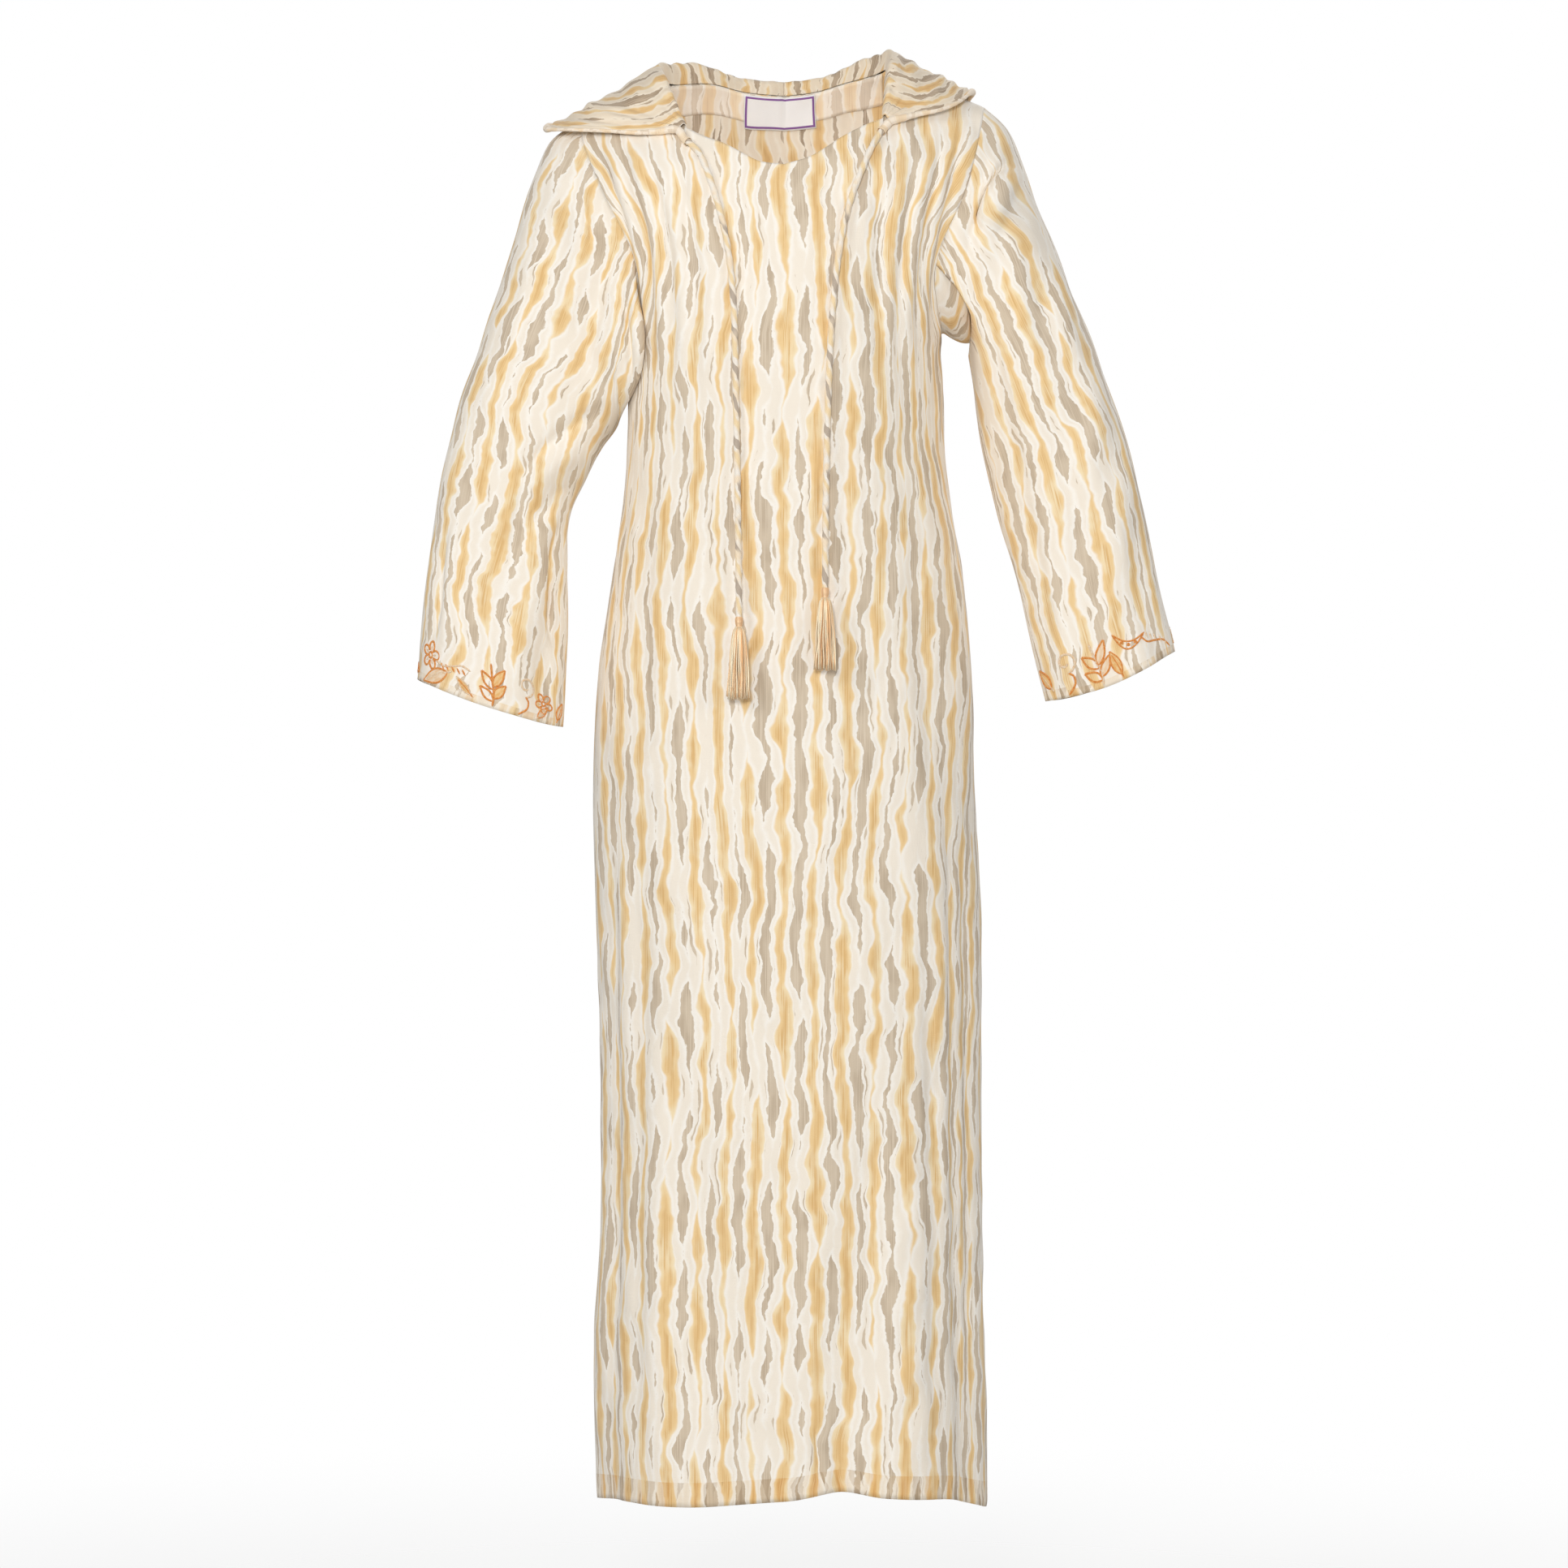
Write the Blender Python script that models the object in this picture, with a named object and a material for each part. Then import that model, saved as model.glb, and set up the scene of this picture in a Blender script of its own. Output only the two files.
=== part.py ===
"""A long hooded kaftan dress in its worn, hollow form, with nobody inside. Metres, +Z up, front towards -Y.

The origin lies between the shoulders, where the wearer carries the dress. Left is -X, as seen from the front.
Each cut piece is a grid of points on the right side of its cloth, with a wall of cloth behind it.
"""

import math
from collections import namedtuple

import bpy
import numpy as np

CLOTH = 0.0015
GUSSET = 0.0010
SEAM_GAP = 0.0003
SIDES = {"left": -1.0, "right": 1.0}

# Half widths and depths of the body of the dress at each drop below the origin.
Section = namedtuple("Section", "drop left right front back")
BODY = (
    Section(-0.060, 0.262, 0.262, 0.052, 0.070),
    Section(0.000, 0.245, 0.245, 0.068, 0.088),
    Section(0.030, 0.230, 0.228, 0.077, 0.097),
    Section(0.065, 0.212, 0.210, 0.095, 0.105),
    Section(0.110, 0.192, 0.190, 0.110, 0.113),
    Section(0.165, 0.170, 0.170, 0.120, 0.118),
    Section(0.225, 0.1495, 0.1495, 0.128, 0.117),
    Section(0.280, 0.1480, 0.1515, 0.130, 0.113),
    Section(0.330, 0.1487, 0.1527, 0.129, 0.109),
    Section(0.390, 0.154, 0.160, 0.127, 0.105),
    Section(0.450, 0.163, 0.170, 0.124, 0.104),
    Section(0.540, 0.176, 0.178, 0.122, 0.108),
    Section(0.640, 0.181, 0.180, 0.122, 0.116),
    Section(0.750, 0.179, 0.186, 0.122, 0.118),
    Section(0.900, 0.174, 0.187, 0.122, 0.114),
    Section(1.060, 0.174, 0.188, 0.122, 0.110),
    Section(1.170, 0.180, 0.189, 0.122, 0.108),
    Section(1.240, 0.180, 0.192, 0.123, 0.108),
    Section(1.330, 0.176, 0.193, 0.124, 0.109),
)
SQUARENESS = 2.2
UNDERARM_DROP = 0.225

# Height of the shoulder line above the origin, by distance from the centre.
Ridge = namedtuple("Ridge", "across left right")
SHOULDER = (
    Ridge(0.000, 0.062, 0.068),
    Ridge(0.060, 0.044, 0.050),
    Ridge(0.100, 0.0265, 0.032),
    Ridge(0.125, 0.0150, 0.021),
    Ridge(0.150, 0.0050, 0.013),
    Ridge(0.175, -0.0040, 0.005),
    Ridge(0.195, -0.0130, -0.004),
    Ridge(0.2175, -0.0260, -0.019),
    Ridge(0.235, -0.0500, -0.044),
)
SHOULDER_Y = 0.006
ROUND_FRONT = 0.100
ROUND_BACK = 0.090

NECK_ACROSS = {"left": 0.113, "right": 0.0965}
CORNER_ACROSS = {"left": 0.0915, "right": 0.0925}
TIP_ACROSS = {"left": 0.195, "right": 0.190}

# Drop of the front neckline from its middle to the corner where the hood starts.
FrontNeck = namedtuple("FrontNeck", "part left right")
FRONT_NECK = (
    FrontNeck(0.00, 0.0647, 0.0647),
    FrontNeck(0.25, 0.0617, 0.0575),
    FrontNeck(0.40, 0.0548, 0.0495),
    FrontNeck(0.60, 0.0443, 0.0365),
    FrontNeck(0.84, 0.0355, 0.0245),
    FrontNeck(1.00, 0.0275, 0.0185),
)

# Height of the back neckline from its middle to the shoulder seam, below the shoulder line at its end.
BackNeck = namedtuple("BackNeck", "part left right")
BACK_NECK = (
    BackNeck(0.00, 0.0164, 0.0164),
    BackNeck(0.33, 0.0190, 0.0200),
    BackNeck(0.62, 0.0250, 0.0270),
    BackNeck(1.00, 0.0205, 0.0335),
)

# Distance of the armhole seam from the centre, from the underarm up to the shoulder tip.
Armhole = namedtuple("Armhole", "part left right")
ARMHOLE = (
    Armhole(0.00, 0.1495, 0.1495),
    Armhole(0.12, 0.1430, 0.1465),
    Armhole(0.28, 0.1400, 0.1460),
    Armhole(0.45, 0.1510, 0.1560),
    Armhole(0.65, 0.1700, 0.1720),
    Armhole(0.85, 0.1875, 0.1840),
    Armhole(1.00, 0.1950, 0.1900),
)

# Columns of a panel, from its middle out: the neckline, the front corner's stretch, then the shoulder seam.
CORNER_U = 0.34
NECK_U = 0.46
FRONT_COLUMNS = 4
CORNER_COLUMNS = 4
BACK_COLUMNS = 9
SHOULDER_COLUMNS = 5
YOKE_ROWS = 10
GUSSET_ROWS = 3
BODY_ROWS = 16

# Drop of the hem across the front and the back, from the left side seam to the right one. Its waves, and a
# cuff's, fade out over the last stretch above it.
HEM_ONLY = 6
Hem = namedtuple("Hem", "place front back")
HEM = (
    Hem(-1.00, 1.320, 1.320),
    Hem(-0.70, 1.316, 1.318),
    Hem(-0.30, 1.317, 1.316),
    Hem(0.00, 1.311, 1.317),
    Hem(0.16, 1.303, 1.318),
    Hem(0.30, 1.309, 1.316),
    Hem(0.60, 1.314, 1.315),
    Hem(0.92, 1.327, 1.318),
    Hem(1.00, 1.321, 1.321),
)

# Folds down the body: place across, half width, depth at the hem, and the drop where each begins.
Fold = namedtuple("Fold", "place half_width depth begins")
FRONT_FOLDS = (
    Fold(-0.72, 0.20, -0.006, 0.45),
    Fold(-0.42, 0.22, 0.007, 0.60),
    Fold(-0.10, 0.20, -0.006, 0.75),
    Fold(0.17, 0.13, -0.010, 0.95),
    Fold(0.42, 0.22, 0.008, 0.55),
    Fold(0.70, 0.16, -0.007, 0.50),
)
FOLD_ROUND = 0.55
FOLD_GROWTH = 1.3
BACK_FOLDS = (
    Fold(-0.70, 0.20, -0.008, 0.50),
    Fold(-0.38, 0.22, 0.009, 0.40),
    Fold(-0.05, 0.20, -0.009, 0.45),
    Fold(0.28, 0.22, 0.009, 0.40),
    Fold(0.62, 0.20, -0.008, 0.50),
)

# Sleeve stations: the outer and the inner edge as seen from the front, then where the tube lies in depth.
Station = namedtuple("Station", "part outer outer_drop inner inner_drop forward half_depth")
SLEEVES = {
    "left": (
        Station(0.00, 0.195, 0.013, 0.160, 0.268, 0.000, 0.074),
        Station(0.05, 0.2235, 0.036, 0.1590, 0.286, 0.000, 0.073),
        Station(0.12, 0.241, 0.077, 0.1590, 0.302, 0.000, 0.070),
        Station(0.25, 0.262, 0.147, 0.172, 0.325, 0.004, 0.065),
        Station(0.40, 0.284, 0.218, 0.187, 0.354, 0.010, 0.060),
        Station(0.55, 0.307, 0.290, 0.200, 0.388, 0.018, 0.055),
        Station(0.70, 0.3245, 0.365, 0.2035, 0.440, 0.028, 0.050),
        Station(0.85, 0.337, 0.4545, 0.2035, 0.515, 0.038, 0.047),
        Station(1.00, 0.3457, 0.545, 0.2087, 0.590, 0.048, 0.046),
    ),
    "right": (
        Station(0.00, 0.190, 0.001, 0.1748, 0.238, 0.000, 0.074),
        Station(0.05, 0.2120, 0.021, 0.1768, 0.250, 0.000, 0.073),
        Station(0.12, 0.2256, 0.054, 0.1790, 0.264, 0.000, 0.070),
        Station(0.25, 0.250, 0.117, 0.1825, 0.292, 0.004, 0.066),
        Station(0.40, 0.280, 0.1925, 0.190, 0.333, 0.010, 0.062),
        Station(0.55, 0.3095, 0.2695, 0.2025, 0.385, 0.018, 0.058),
        Station(0.70, 0.331, 0.345, 0.2175, 0.438, 0.026, 0.056),
        Station(0.85, 0.350, 0.440, 0.2300, 0.500, 0.034, 0.055),
        Station(1.00, 0.3665, 0.519, 0.2456, 0.566, 0.042, 0.055),
    ),
}
CUFF_SAG = {"left": 0.0045, "right": 0.0085}
SLEEVE_ROWS = 12
SLEEVE_SET = 0.38
GUSSET_ANGLE = math.radians(114)
GUSSET_SAG = {"left": 0.001, "right": 0.014}
GUSSET_BEND = np.array([0.006, 0.022, 0.012])
GUSSET_TRIM = 0.0005
GUSSET_CORNER = 0.3

# The hood's face edge, its casing, from the middle of the back over the shoulder to the front corner.
Edge = namedtuple("Edge", "part across y z")
HOOD_EDGE = {
    "left": (
        Edge(0.00, 0.000, 0.151, -0.052),
        Edge(0.15, 0.070, 0.143, -0.048),
        Edge(0.30, 0.137, 0.117, -0.038),
        Edge(0.45, 0.192, 0.074, -0.022),
        Edge(0.55, 0.219, 0.026, -0.012),
        Edge(0.62, 0.2245, -0.002, -0.018),
        Edge(0.70, 0.213, -0.026, -0.0235),
        Edge(0.80, 0.175, -0.046, -0.0285),
        Edge(0.90, 0.135, -0.058, -0.0325),
        Edge(1.00, 0.0985, -0.062, -0.0360),
    ),
    "right": (
        Edge(0.00, 0.000, 0.151, -0.052),
        Edge(0.15, 0.066, 0.142, -0.050),
        Edge(0.30, 0.122, 0.115, -0.040),
        Edge(0.45, 0.160, 0.074, -0.016),
        Edge(0.55, 0.176, 0.030, 0.008),
        Edge(0.62, 0.178, 0.002, 0.013),
        Edge(0.70, 0.170, -0.022, 0.004),
        Edge(0.80, 0.1525, -0.044, -0.0073),
        Edge(0.90, 0.1250, -0.057, -0.0145),
        Edge(1.00, 0.0985, -0.061, -0.0255),
    ),
}
# The lowest line of the dropped hood, its pouch, and how high the cloth stands above the neck seam.
Pouch = namedtuple("Pouch", "part across y z stand lean")
POUCH = (
    Pouch(0.00, 0.000, 0.136, -0.290, 0.012, 0.009),
    Pouch(0.15, 0.078, 0.130, -0.258, 0.012, 0.009),
    Pouch(0.30, 0.142, 0.104, -0.172, 0.014, 0.008),
    Pouch(0.45, 0.182, 0.066, -0.066, 0.019, 0.006),
    Pouch(0.62, 0.175, 0.008, 0.010, 0.017, 0.004),
    Pouch(0.80, 0.150, -0.036, -0.002, 0.010, 0.004),
    Pouch(1.00, 0.096, -0.056, -0.030, 0.001, 0.001),
)
NECK_SHARE = 0.62
POUCH_ENDS = 0.45
NAPE_SHARE = 0.45
WING_FOLD = 0.55
POUCH_FULL = 0.020
HOOD_KNOTS = (0.00, 0.07, 0.30, 0.55, 0.78, 1.00)
HOOD_ROWS = 15
HOOD_CLEAR = 0.0052
LAY_ROUNDS = 3
CASING_THICK = 0.0050
CASING_FROM = 0.93

FACING = 0.0010
LABEL = 0.0010
FACING_ROWS = (0.0, 1.0)
LABEL_ROWS = (0.0, 1.0, 1.25)
LABEL_COLUMNS = 3

CORD_DIAMETER = 0.006
# Hand-chosen points of the drawstring's two ends, from the casing down the front of the dress.
CORDS = {
    "left": (
        (-0.0930, -0.0768, -0.0400),
        (-0.0865, -0.0822, -0.0455),
        (-0.0790, -0.0894, -0.0545),
        (-0.0705, -0.0990, -0.0750),
        (-0.0625, -0.1076, -0.1000),
        (-0.0555, -0.1145, -0.1280),
        (-0.0500, -0.1202, -0.1620),
        (-0.0465, -0.1260, -0.2050),
        (-0.0450, -0.1298, -0.2600),
        (-0.0440, -0.1303, -0.3200),
        (-0.0430, -0.1303, -0.3800),
        (-0.0422, -0.1303, -0.4400),
        (-0.0418, -0.1303, -0.4885),
    ),
    "right": (
        (0.0935, -0.0708, -0.0290),
        (0.0885, -0.0764, -0.0360),
        (0.0820, -0.0854, -0.0480),
        (0.0735, -0.0961, -0.0680),
        (0.0640, -0.1054, -0.0930),
        (0.0560, -0.1133, -0.1220),
        (0.0495, -0.1200, -0.1600),
        (0.0450, -0.1263, -0.2050),
        (0.0420, -0.1304, -0.2600),
        (0.0400, -0.1310, -0.3200),
        (0.0388, -0.1310, -0.3800),
        (0.0384, -0.1310, -0.4200),
        (0.0382, -0.1310, -0.4614),
    ),
}
CORD_SPACING = 0.013

# A tassel's turned head, as radius and distance below its top, then the rings of strands that hang from it.
Turn = namedtuple("Turn", "radius drop")
HEAD_PROFILE = (
    Turn(0.0022, 0.000),
    Turn(0.0036, 0.003),
    Turn(0.0030, 0.007),
    Turn(0.0036, 0.010),
    Turn(0.0052, 0.013),
    Turn(0.0052, 0.017),
)
HEAD_SIDES = 14
StrandRing = namedtuple("StrandRing", "count root tip")
STRAND_RINGS = (
    StrandRing(16, 0.0043, 0.0098),
    StrandRing(12, 0.0030, 0.0068),
    StrandRing(8, 0.0018, 0.0040),
    StrandRing(3, 0.0007, 0.0015),
)
STRAND_RADIUS = 0.00055
STRAND_UNEVEN = 0.003
STRAND_FORWARD = 0.0035
TASSEL_LENGTH = 0.078
TASSEL_FLAT = 0.62


def smooth(at, knots, values):
    """A smooth curve through values at rising knots: cubic pieces that share their slopes where they meet."""
    knots = np.asarray(knots, float)
    values = np.asarray(values, float)
    reach = np.concatenate([knots[1:2] - knots[:1], knots[2:] - knots[:-2], knots[-1:] - knots[-2:-1]])
    rise = np.concatenate([values[1:2] - values[:1], values[2:] - values[:-2], values[-1:] - values[-2:-1]])
    slopes = rise / reach
    place = np.clip(np.searchsorted(knots, at, side="right") - 1, 0, len(knots) - 2)
    width = knots[place + 1] - knots[place]
    f = np.clip((at - knots[place]) / width, 0.0, 1.0)
    start = (1 + 2 * f) * (1 - f) ** 2 * values[place] + f * (1 - f) ** 2 * width * slopes[place]
    end = f**2 * (3 - 2 * f) * values[place + 1] + f**2 * (f - 1) * width * slopes[place + 1]
    return start + end


def column(table, name, at):
    """One named column of a table, read smoothly at any place along its first column."""
    return smooth(at, [row[0] for row in table], [getattr(row, name) for row in table])


def sided(table, x, at):
    """The left column where x is negative and the right one elsewhere."""
    return np.where(x < 0, column(table, "left", at), column(table, "right", at))


def shoulder_height(x):
    return sided(SHOULDER, x, np.abs(x))


def body_y(x, z, face):
    """Depth of the dress at (x, z): a squared ellipse at each height, rounded over to the shoulder line.

    face is -1 for the front and 1 for the back.
    """
    drop = -z
    half = sided(BODY, x, drop)
    depth = column(BODY, "front" if face < 0 else "back", drop)
    flat = depth * (1 - np.clip(np.abs(x) / half, 0, 1) ** SQUARENESS) ** (1 / SQUARENESS)
    below = (shoulder_height(x) - z) / (ROUND_FRONT if face < 0 else ROUND_BACK)
    turn = np.sqrt(1 - (1 - np.clip(below, 0, 1)) ** 2)
    return SHOULDER_Y + (face * flat - SHOULDER_Y) * turn


def mix(a, b, f):
    return a + (b - a) * f


def widest(u):
    """How far across a column u lies, from -1 to 1: even steps round the squared ellipse."""
    return np.sign(u) * np.abs(np.sin(u * math.pi / 2)) ** (2 / SQUARENESS)


def by_side(values, u):
    return np.where(u < 0, -values["left"], values["right"])


def top_edge(u, face):
    """(x, z) of a panel's top edge at column u: the neckline, then the shoulder seam."""
    u = np.asarray(u, float)
    across = np.abs(u)
    neck = by_side(NECK_ACROSS, u)
    tip = by_side(TIP_ACROSS, u)
    on_shoulder = mix(neck, tip, np.clip((across - NECK_U) / (1 - NECK_U), 0, 1))
    if face > 0:
        part = np.clip(across / NECK_U, 0, 1)
        x = np.where(across > NECK_U, on_shoulder, neck * part)
        neck_z = sided(BACK_NECK, u, part) + (shoulder_height(neck) - sided(BACK_NECK, u, 1.0)) * part**4
        return x, np.where(across >= NECK_U, shoulder_height(x), neck_z)
    corner = by_side(CORNER_ACROSS, u)
    part = np.clip(across / CORNER_U, 0, 1)
    rise = np.clip((across - CORNER_U) / (NECK_U - CORNER_U), 0, 1)
    corner_z = -sided(FRONT_NECK, u, 1.0)
    x = np.where(across <= CORNER_U, corner * part, mix(corner, neck, rise))
    z = np.where(across <= CORNER_U, -sided(FRONT_NECK, u, part), mix(corner_z, shoulder_height(neck), rise))
    x = np.where(across > NECK_U, on_shoulder, x)
    return x, np.where(across > NECK_U, shoulder_height(x), z)


def armhole(side, up):
    """(x, z) of the armhole seam, from the underarm at up = 0 to the shoulder tip at up = 1."""
    x = SIDES[side] * column(ARMHOLE, side, up)
    tip_z = shoulder_height(SIDES[side] * TIP_ACROSS[side])
    return x, mix(-UNDERARM_DROP, tip_z, up)


def folds(u, drop, table):
    """How far the folds stand out at column u: rounded ridges and troughs that grow down to the hem."""
    out = np.zeros(np.broadcast(u, drop).shape)
    for fold in table:
        shape = np.exp(-(((u - fold.place) / (fold.half_width * FOLD_ROUND)) ** 2))
        grow = np.clip((drop - fold.begins) / (HEM[0].front - fold.begins), 0, 1)
        out = out + fold.depth * shape * grow**FOLD_GROWTH
    return out * (1 - u**8)


def panel(u, up, down, face):
    """A panel's points: up runs from the underarm, 0, to the top edge, 1, and down from there to the hem."""
    u, up, down = np.broadcast_arrays(np.asarray(u, float), up, down)
    share = widest(u)
    half = sided(BODY, u, UNDERARM_DROP)
    low_x = half * share
    low_z = np.full_like(low_x, -UNDERARM_DROP)
    top_x, top_z = top_edge(u, face)
    left_x, left_z = armhole("left", up)
    right_x, right_z = armhole("right", up)
    left_tip, right_tip = -TIP_ACROSS["left"], TIP_ACROSS["right"]
    left_low, right_low = sided(BODY, np.array([-1.0, 1.0]), UNDERARM_DROP) * np.array([-1.0, 1.0])
    w = (share + 1) / 2
    corner_x = mix(mix(left_low, right_low, w), mix(left_tip, right_tip, w), up)
    tip_z = mix(shoulder_height(left_tip), shoulder_height(right_tip), w)
    corner_z = mix(-UNDERARM_DROP, tip_z, up)
    x = mix(low_x, top_x, up) + mix(left_x, right_x, w) - corner_x
    z = mix(low_z, top_z, up) + mix(left_z, right_z, w) - corner_z
    y = body_y(x, z, face)
    hem_drop = column(HEM, "front" if face < 0 else "back", u)
    drop = mix(UNDERARM_DROP, HEM[0].front, down) + (hem_drop - HEM[0].front) * down**HEM_ONLY
    half = sided(BODY, u, drop)
    depth = column(BODY, "front" if face < 0 else "back", drop)
    round_x = np.sin(u * math.pi / 2)
    round_y = face * np.cos(u * math.pi / 2)
    out = folds(u, drop, FRONT_FOLDS if face < 0 else BACK_FOLDS)
    body_x = half * share + out * round_x
    body_depth = face * depth * np.abs(round_y) ** (2 / SQUARENESS) + out * round_y
    yoke = np.stack([x, y, z], axis=-1)
    body = np.stack([body_x, body_depth, -drop], axis=-1)
    return np.where((down <= 0)[..., None], yoke, body)


def panel_columns(face):
    """Column places from the left side to the right one, with one at each neck corner and shoulder neck."""
    if face < 0:
        neck = np.linspace(0, CORNER_U, FRONT_COLUMNS + 1)
        neck = np.concatenate([neck, np.linspace(CORNER_U, NECK_U, CORNER_COLUMNS + 1)[1:]])
    else:
        neck = np.linspace(0, NECK_U, BACK_COLUMNS + 1)
    half = np.concatenate([neck, np.linspace(NECK_U, 1, SHOULDER_COLUMNS + 1)[1:]])
    return np.concatenate([-half[::-1], half[1:]])


def panel_grid(face):
    """Rows from the top edge to the hem, columns from left to right."""
    up = np.concatenate([np.linspace(1, 0, YOKE_ROWS + 1), np.zeros(BODY_ROWS)])
    down = np.concatenate([np.zeros(YOKE_ROWS + 1), np.linspace(0, 1, BODY_ROWS + 1)[1:]])
    return panel(panel_columns(face)[None, :], up[:, None], down[:, None], face)


def normals(points, around, flip):
    """Unit directions off a grid's right side, from the steps along its rows and columns."""
    down = np.gradient(points, axis=0)
    if around:
        across = (np.roll(points, -1, axis=1) - np.roll(points, 1, axis=1)) / 2
    else:
        across = np.gradient(points, axis=1)
    out = np.cross(down, across) * (-1 if flip else 1)
    return out / np.linalg.norm(out, axis=-1, keepdims=True)


def material(name, colour, roughness):
    found = bpy.data.materials.get(name)
    if found:
        return found
    made = bpy.data.materials.new(name)
    made.use_nodes = True
    shader = made.node_tree.nodes["Principled BSDF"]
    shader.inputs["Base Color"].default_value = (*colour, 1.0)
    shader.inputs["Roughness"].default_value = roughness
    shader.inputs["Metallic"].default_value = 0.0
    return made


def voile():
    return material("printed_voile", (0.80, 0.68, 0.50), 0.80)


def woven_label():
    return material("woven_label", (0.90, 0.88, 0.86), 0.60)


def tassel_silk():
    return material("tassel_silk", (0.85, 0.50, 0.27), 0.45)


def add_object(name, mesh, finish):
    made = bpy.data.objects.new(name, mesh)
    bpy.context.scene.collection.objects.link(made)
    mesh.materials.append(finish)
    return made


def add_wall(name, points, out, thickness, around, flip, finish=None):
    """A closed wall of cloth: the grid, the same grid moved back by thickness, and a rim between them."""
    rows, columns = points.shape[:2]
    inner = points - out * np.broadcast_to(thickness, (rows, columns))[..., None]
    place = np.arange(rows * columns).reshape(rows, columns)
    if around:
        place = np.hstack([place, place[:, :1]])
    a, b, c, d = place[:-1, :-1], place[:-1, 1:], place[1:, 1:], place[1:, :-1]
    outer_faces = np.concatenate([np.stack([a, c, b], -1), np.stack([a, d, c], -1)]).reshape(-1, 3)
    if flip:
        outer_faces = outer_faces[:, ::-1]
    loops = [place[0], place[-1][::-1]]
    if not around:
        edges = [place[0, :-1], place[:-1, -1], place[-1, :0:-1], place[:0:-1, 0], place[:1, 0]]
        loops = [np.concatenate(edges)]
    rims = []
    for loop in loops:
        p, q = loop[:-1], loop[1:]
        step = rows * columns
        rim = np.concatenate([np.stack([p, q, q + step], -1), np.stack([p, q + step, p + step], -1)])
        rims.append(rim[:, ::-1] if flip else rim)
    faces = np.concatenate([outer_faces, outer_faces[:, ::-1] + rows * columns, *rims])
    mesh = bpy.data.meshes.new(name)
    mesh.from_pydata(np.concatenate([points.reshape(-1, 3), inner.reshape(-1, 3)]), [], faces.tolist())
    mesh.shade_smooth()
    return add_object(name, mesh, finish or voile())


def trim_edges(points, around, trim=SEAM_GAP / 2):
    """Draws a grid's edges in by half a seam gap, so that sewn pieces meet without touching."""
    trimmed = points.copy()
    pairs = [((0,), (1,)), ((-1,), (-2,))]
    if not around:
        pairs += [((slice(None), 0), (slice(None), 1)), ((slice(None), -1), (slice(None), -2))]
    for edge, inside in pairs:
        step = points[inside] - points[edge]
        trimmed[edge] += step / np.linalg.norm(step, axis=-1, keepdims=True) * trim
    return trimmed


def gusset_curve(side, face, seam_point, part):
    """The gusset's edge on the sleeve, a rounded bend from the armhole seam down to the sleeve's own seam."""
    station = SLEEVES[side][0]
    end = np.array([SIDES[side] * station.inner, 0.0, -station.inner_drop])
    bend = np.array([SIDES[side], face, -1.0]) * GUSSET_BEND
    middle = (seam_point + end) / 2 + bend
    part = np.asarray(part)[:, None]
    return seam_point * (1 - part) ** 2 + middle * 2 * part * (1 - part) + end * part**2


def armhole_run(grid, side):
    """A panel's armhole points from the shoulder tip down to the underarm."""
    return grid[: YOKE_ROWS + 1, 0 if side == "left" else -1]


def sleeve_loop(side, front, back):
    """The sleeve's first ring: down the front armhole, round the gusset's edge, and up the back armhole."""
    sewn = YOKE_ROWS - GUSSET_ROWS
    front_run = armhole_run(front, side)[: sewn + 1]
    back_run = armhole_run(back, side)[: sewn + 1]
    parts = np.linspace(0, 1, GUSSET_ROWS + 1)
    front_edge = gusset_curve(side, -1, front_run[-1], parts)
    back_edge = gusset_curve(side, 1, back_run[-1], parts)
    loop = np.concatenate([front_run, front_edge[1:], back_edge[-2::-1], back_run[-2:0:-1]])
    return loop, front_edge, back_edge


def sleeve_angles():
    sewn = YOKE_ROWS - GUSSET_ROWS
    down = np.linspace(0, GUSSET_ANGLE, sewn + 1)
    under = np.linspace(GUSSET_ANGLE, math.pi, GUSSET_ROWS + 1)[1:]
    half = np.concatenate([down, under])
    return np.concatenate([half, 2 * math.pi - half[-2:0:-1]])


def tube(side, part, angle):
    """The sleeve's plain tube: an ellipse at each station, its long axis from outer edge to inner edge."""
    table = SLEEVES[side]
    sign = SIDES[side]
    outer = np.stack([sign * column(table, "outer", part), -column(table, "forward", part)], -1)
    inner = np.stack([sign * column(table, "inner", part), -column(table, "forward", part)], -1)
    outer = np.concatenate([outer, -column(table, "outer_drop", part)[..., None]], -1)
    inner = np.concatenate([inner, -column(table, "inner_drop", part)[..., None]], -1)
    centre = (outer + inner) / 2
    depth = column(table, "half_depth", part)[..., None]
    power = 2 / SQUARENESS
    along = (np.sign(np.cos(angle)) * np.abs(np.cos(angle)) ** power)[..., None]
    forward = (np.sign(np.sin(angle)) * np.abs(np.sin(angle)) ** power)[..., None]
    sag = CUFF_SAG[side] * (1 - along**2) * part[..., None] ** HEM_ONLY
    across = (outer - centre) * along
    return centre + across - depth * forward * np.array([0.0, 1.0, 0.0]) - sag * np.array([0.0, 0.0, 1.0])


def sleeve_grid(side, loop):
    """Rings from the armhole to the cuff: the tube, drawn to the armhole seam over its first stretch."""
    part = np.linspace(0, 1, SLEEVE_ROWS + 1)[:, None]
    angle = sleeve_angles()[None, :]
    part, angle = np.broadcast_arrays(part, angle)
    plain = tube(side, part, angle)
    pull = np.clip(1 - part / SLEEVE_SET, 0, 1) ** 2
    return plain + (loop - plain[0]) * pull[..., None]


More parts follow.
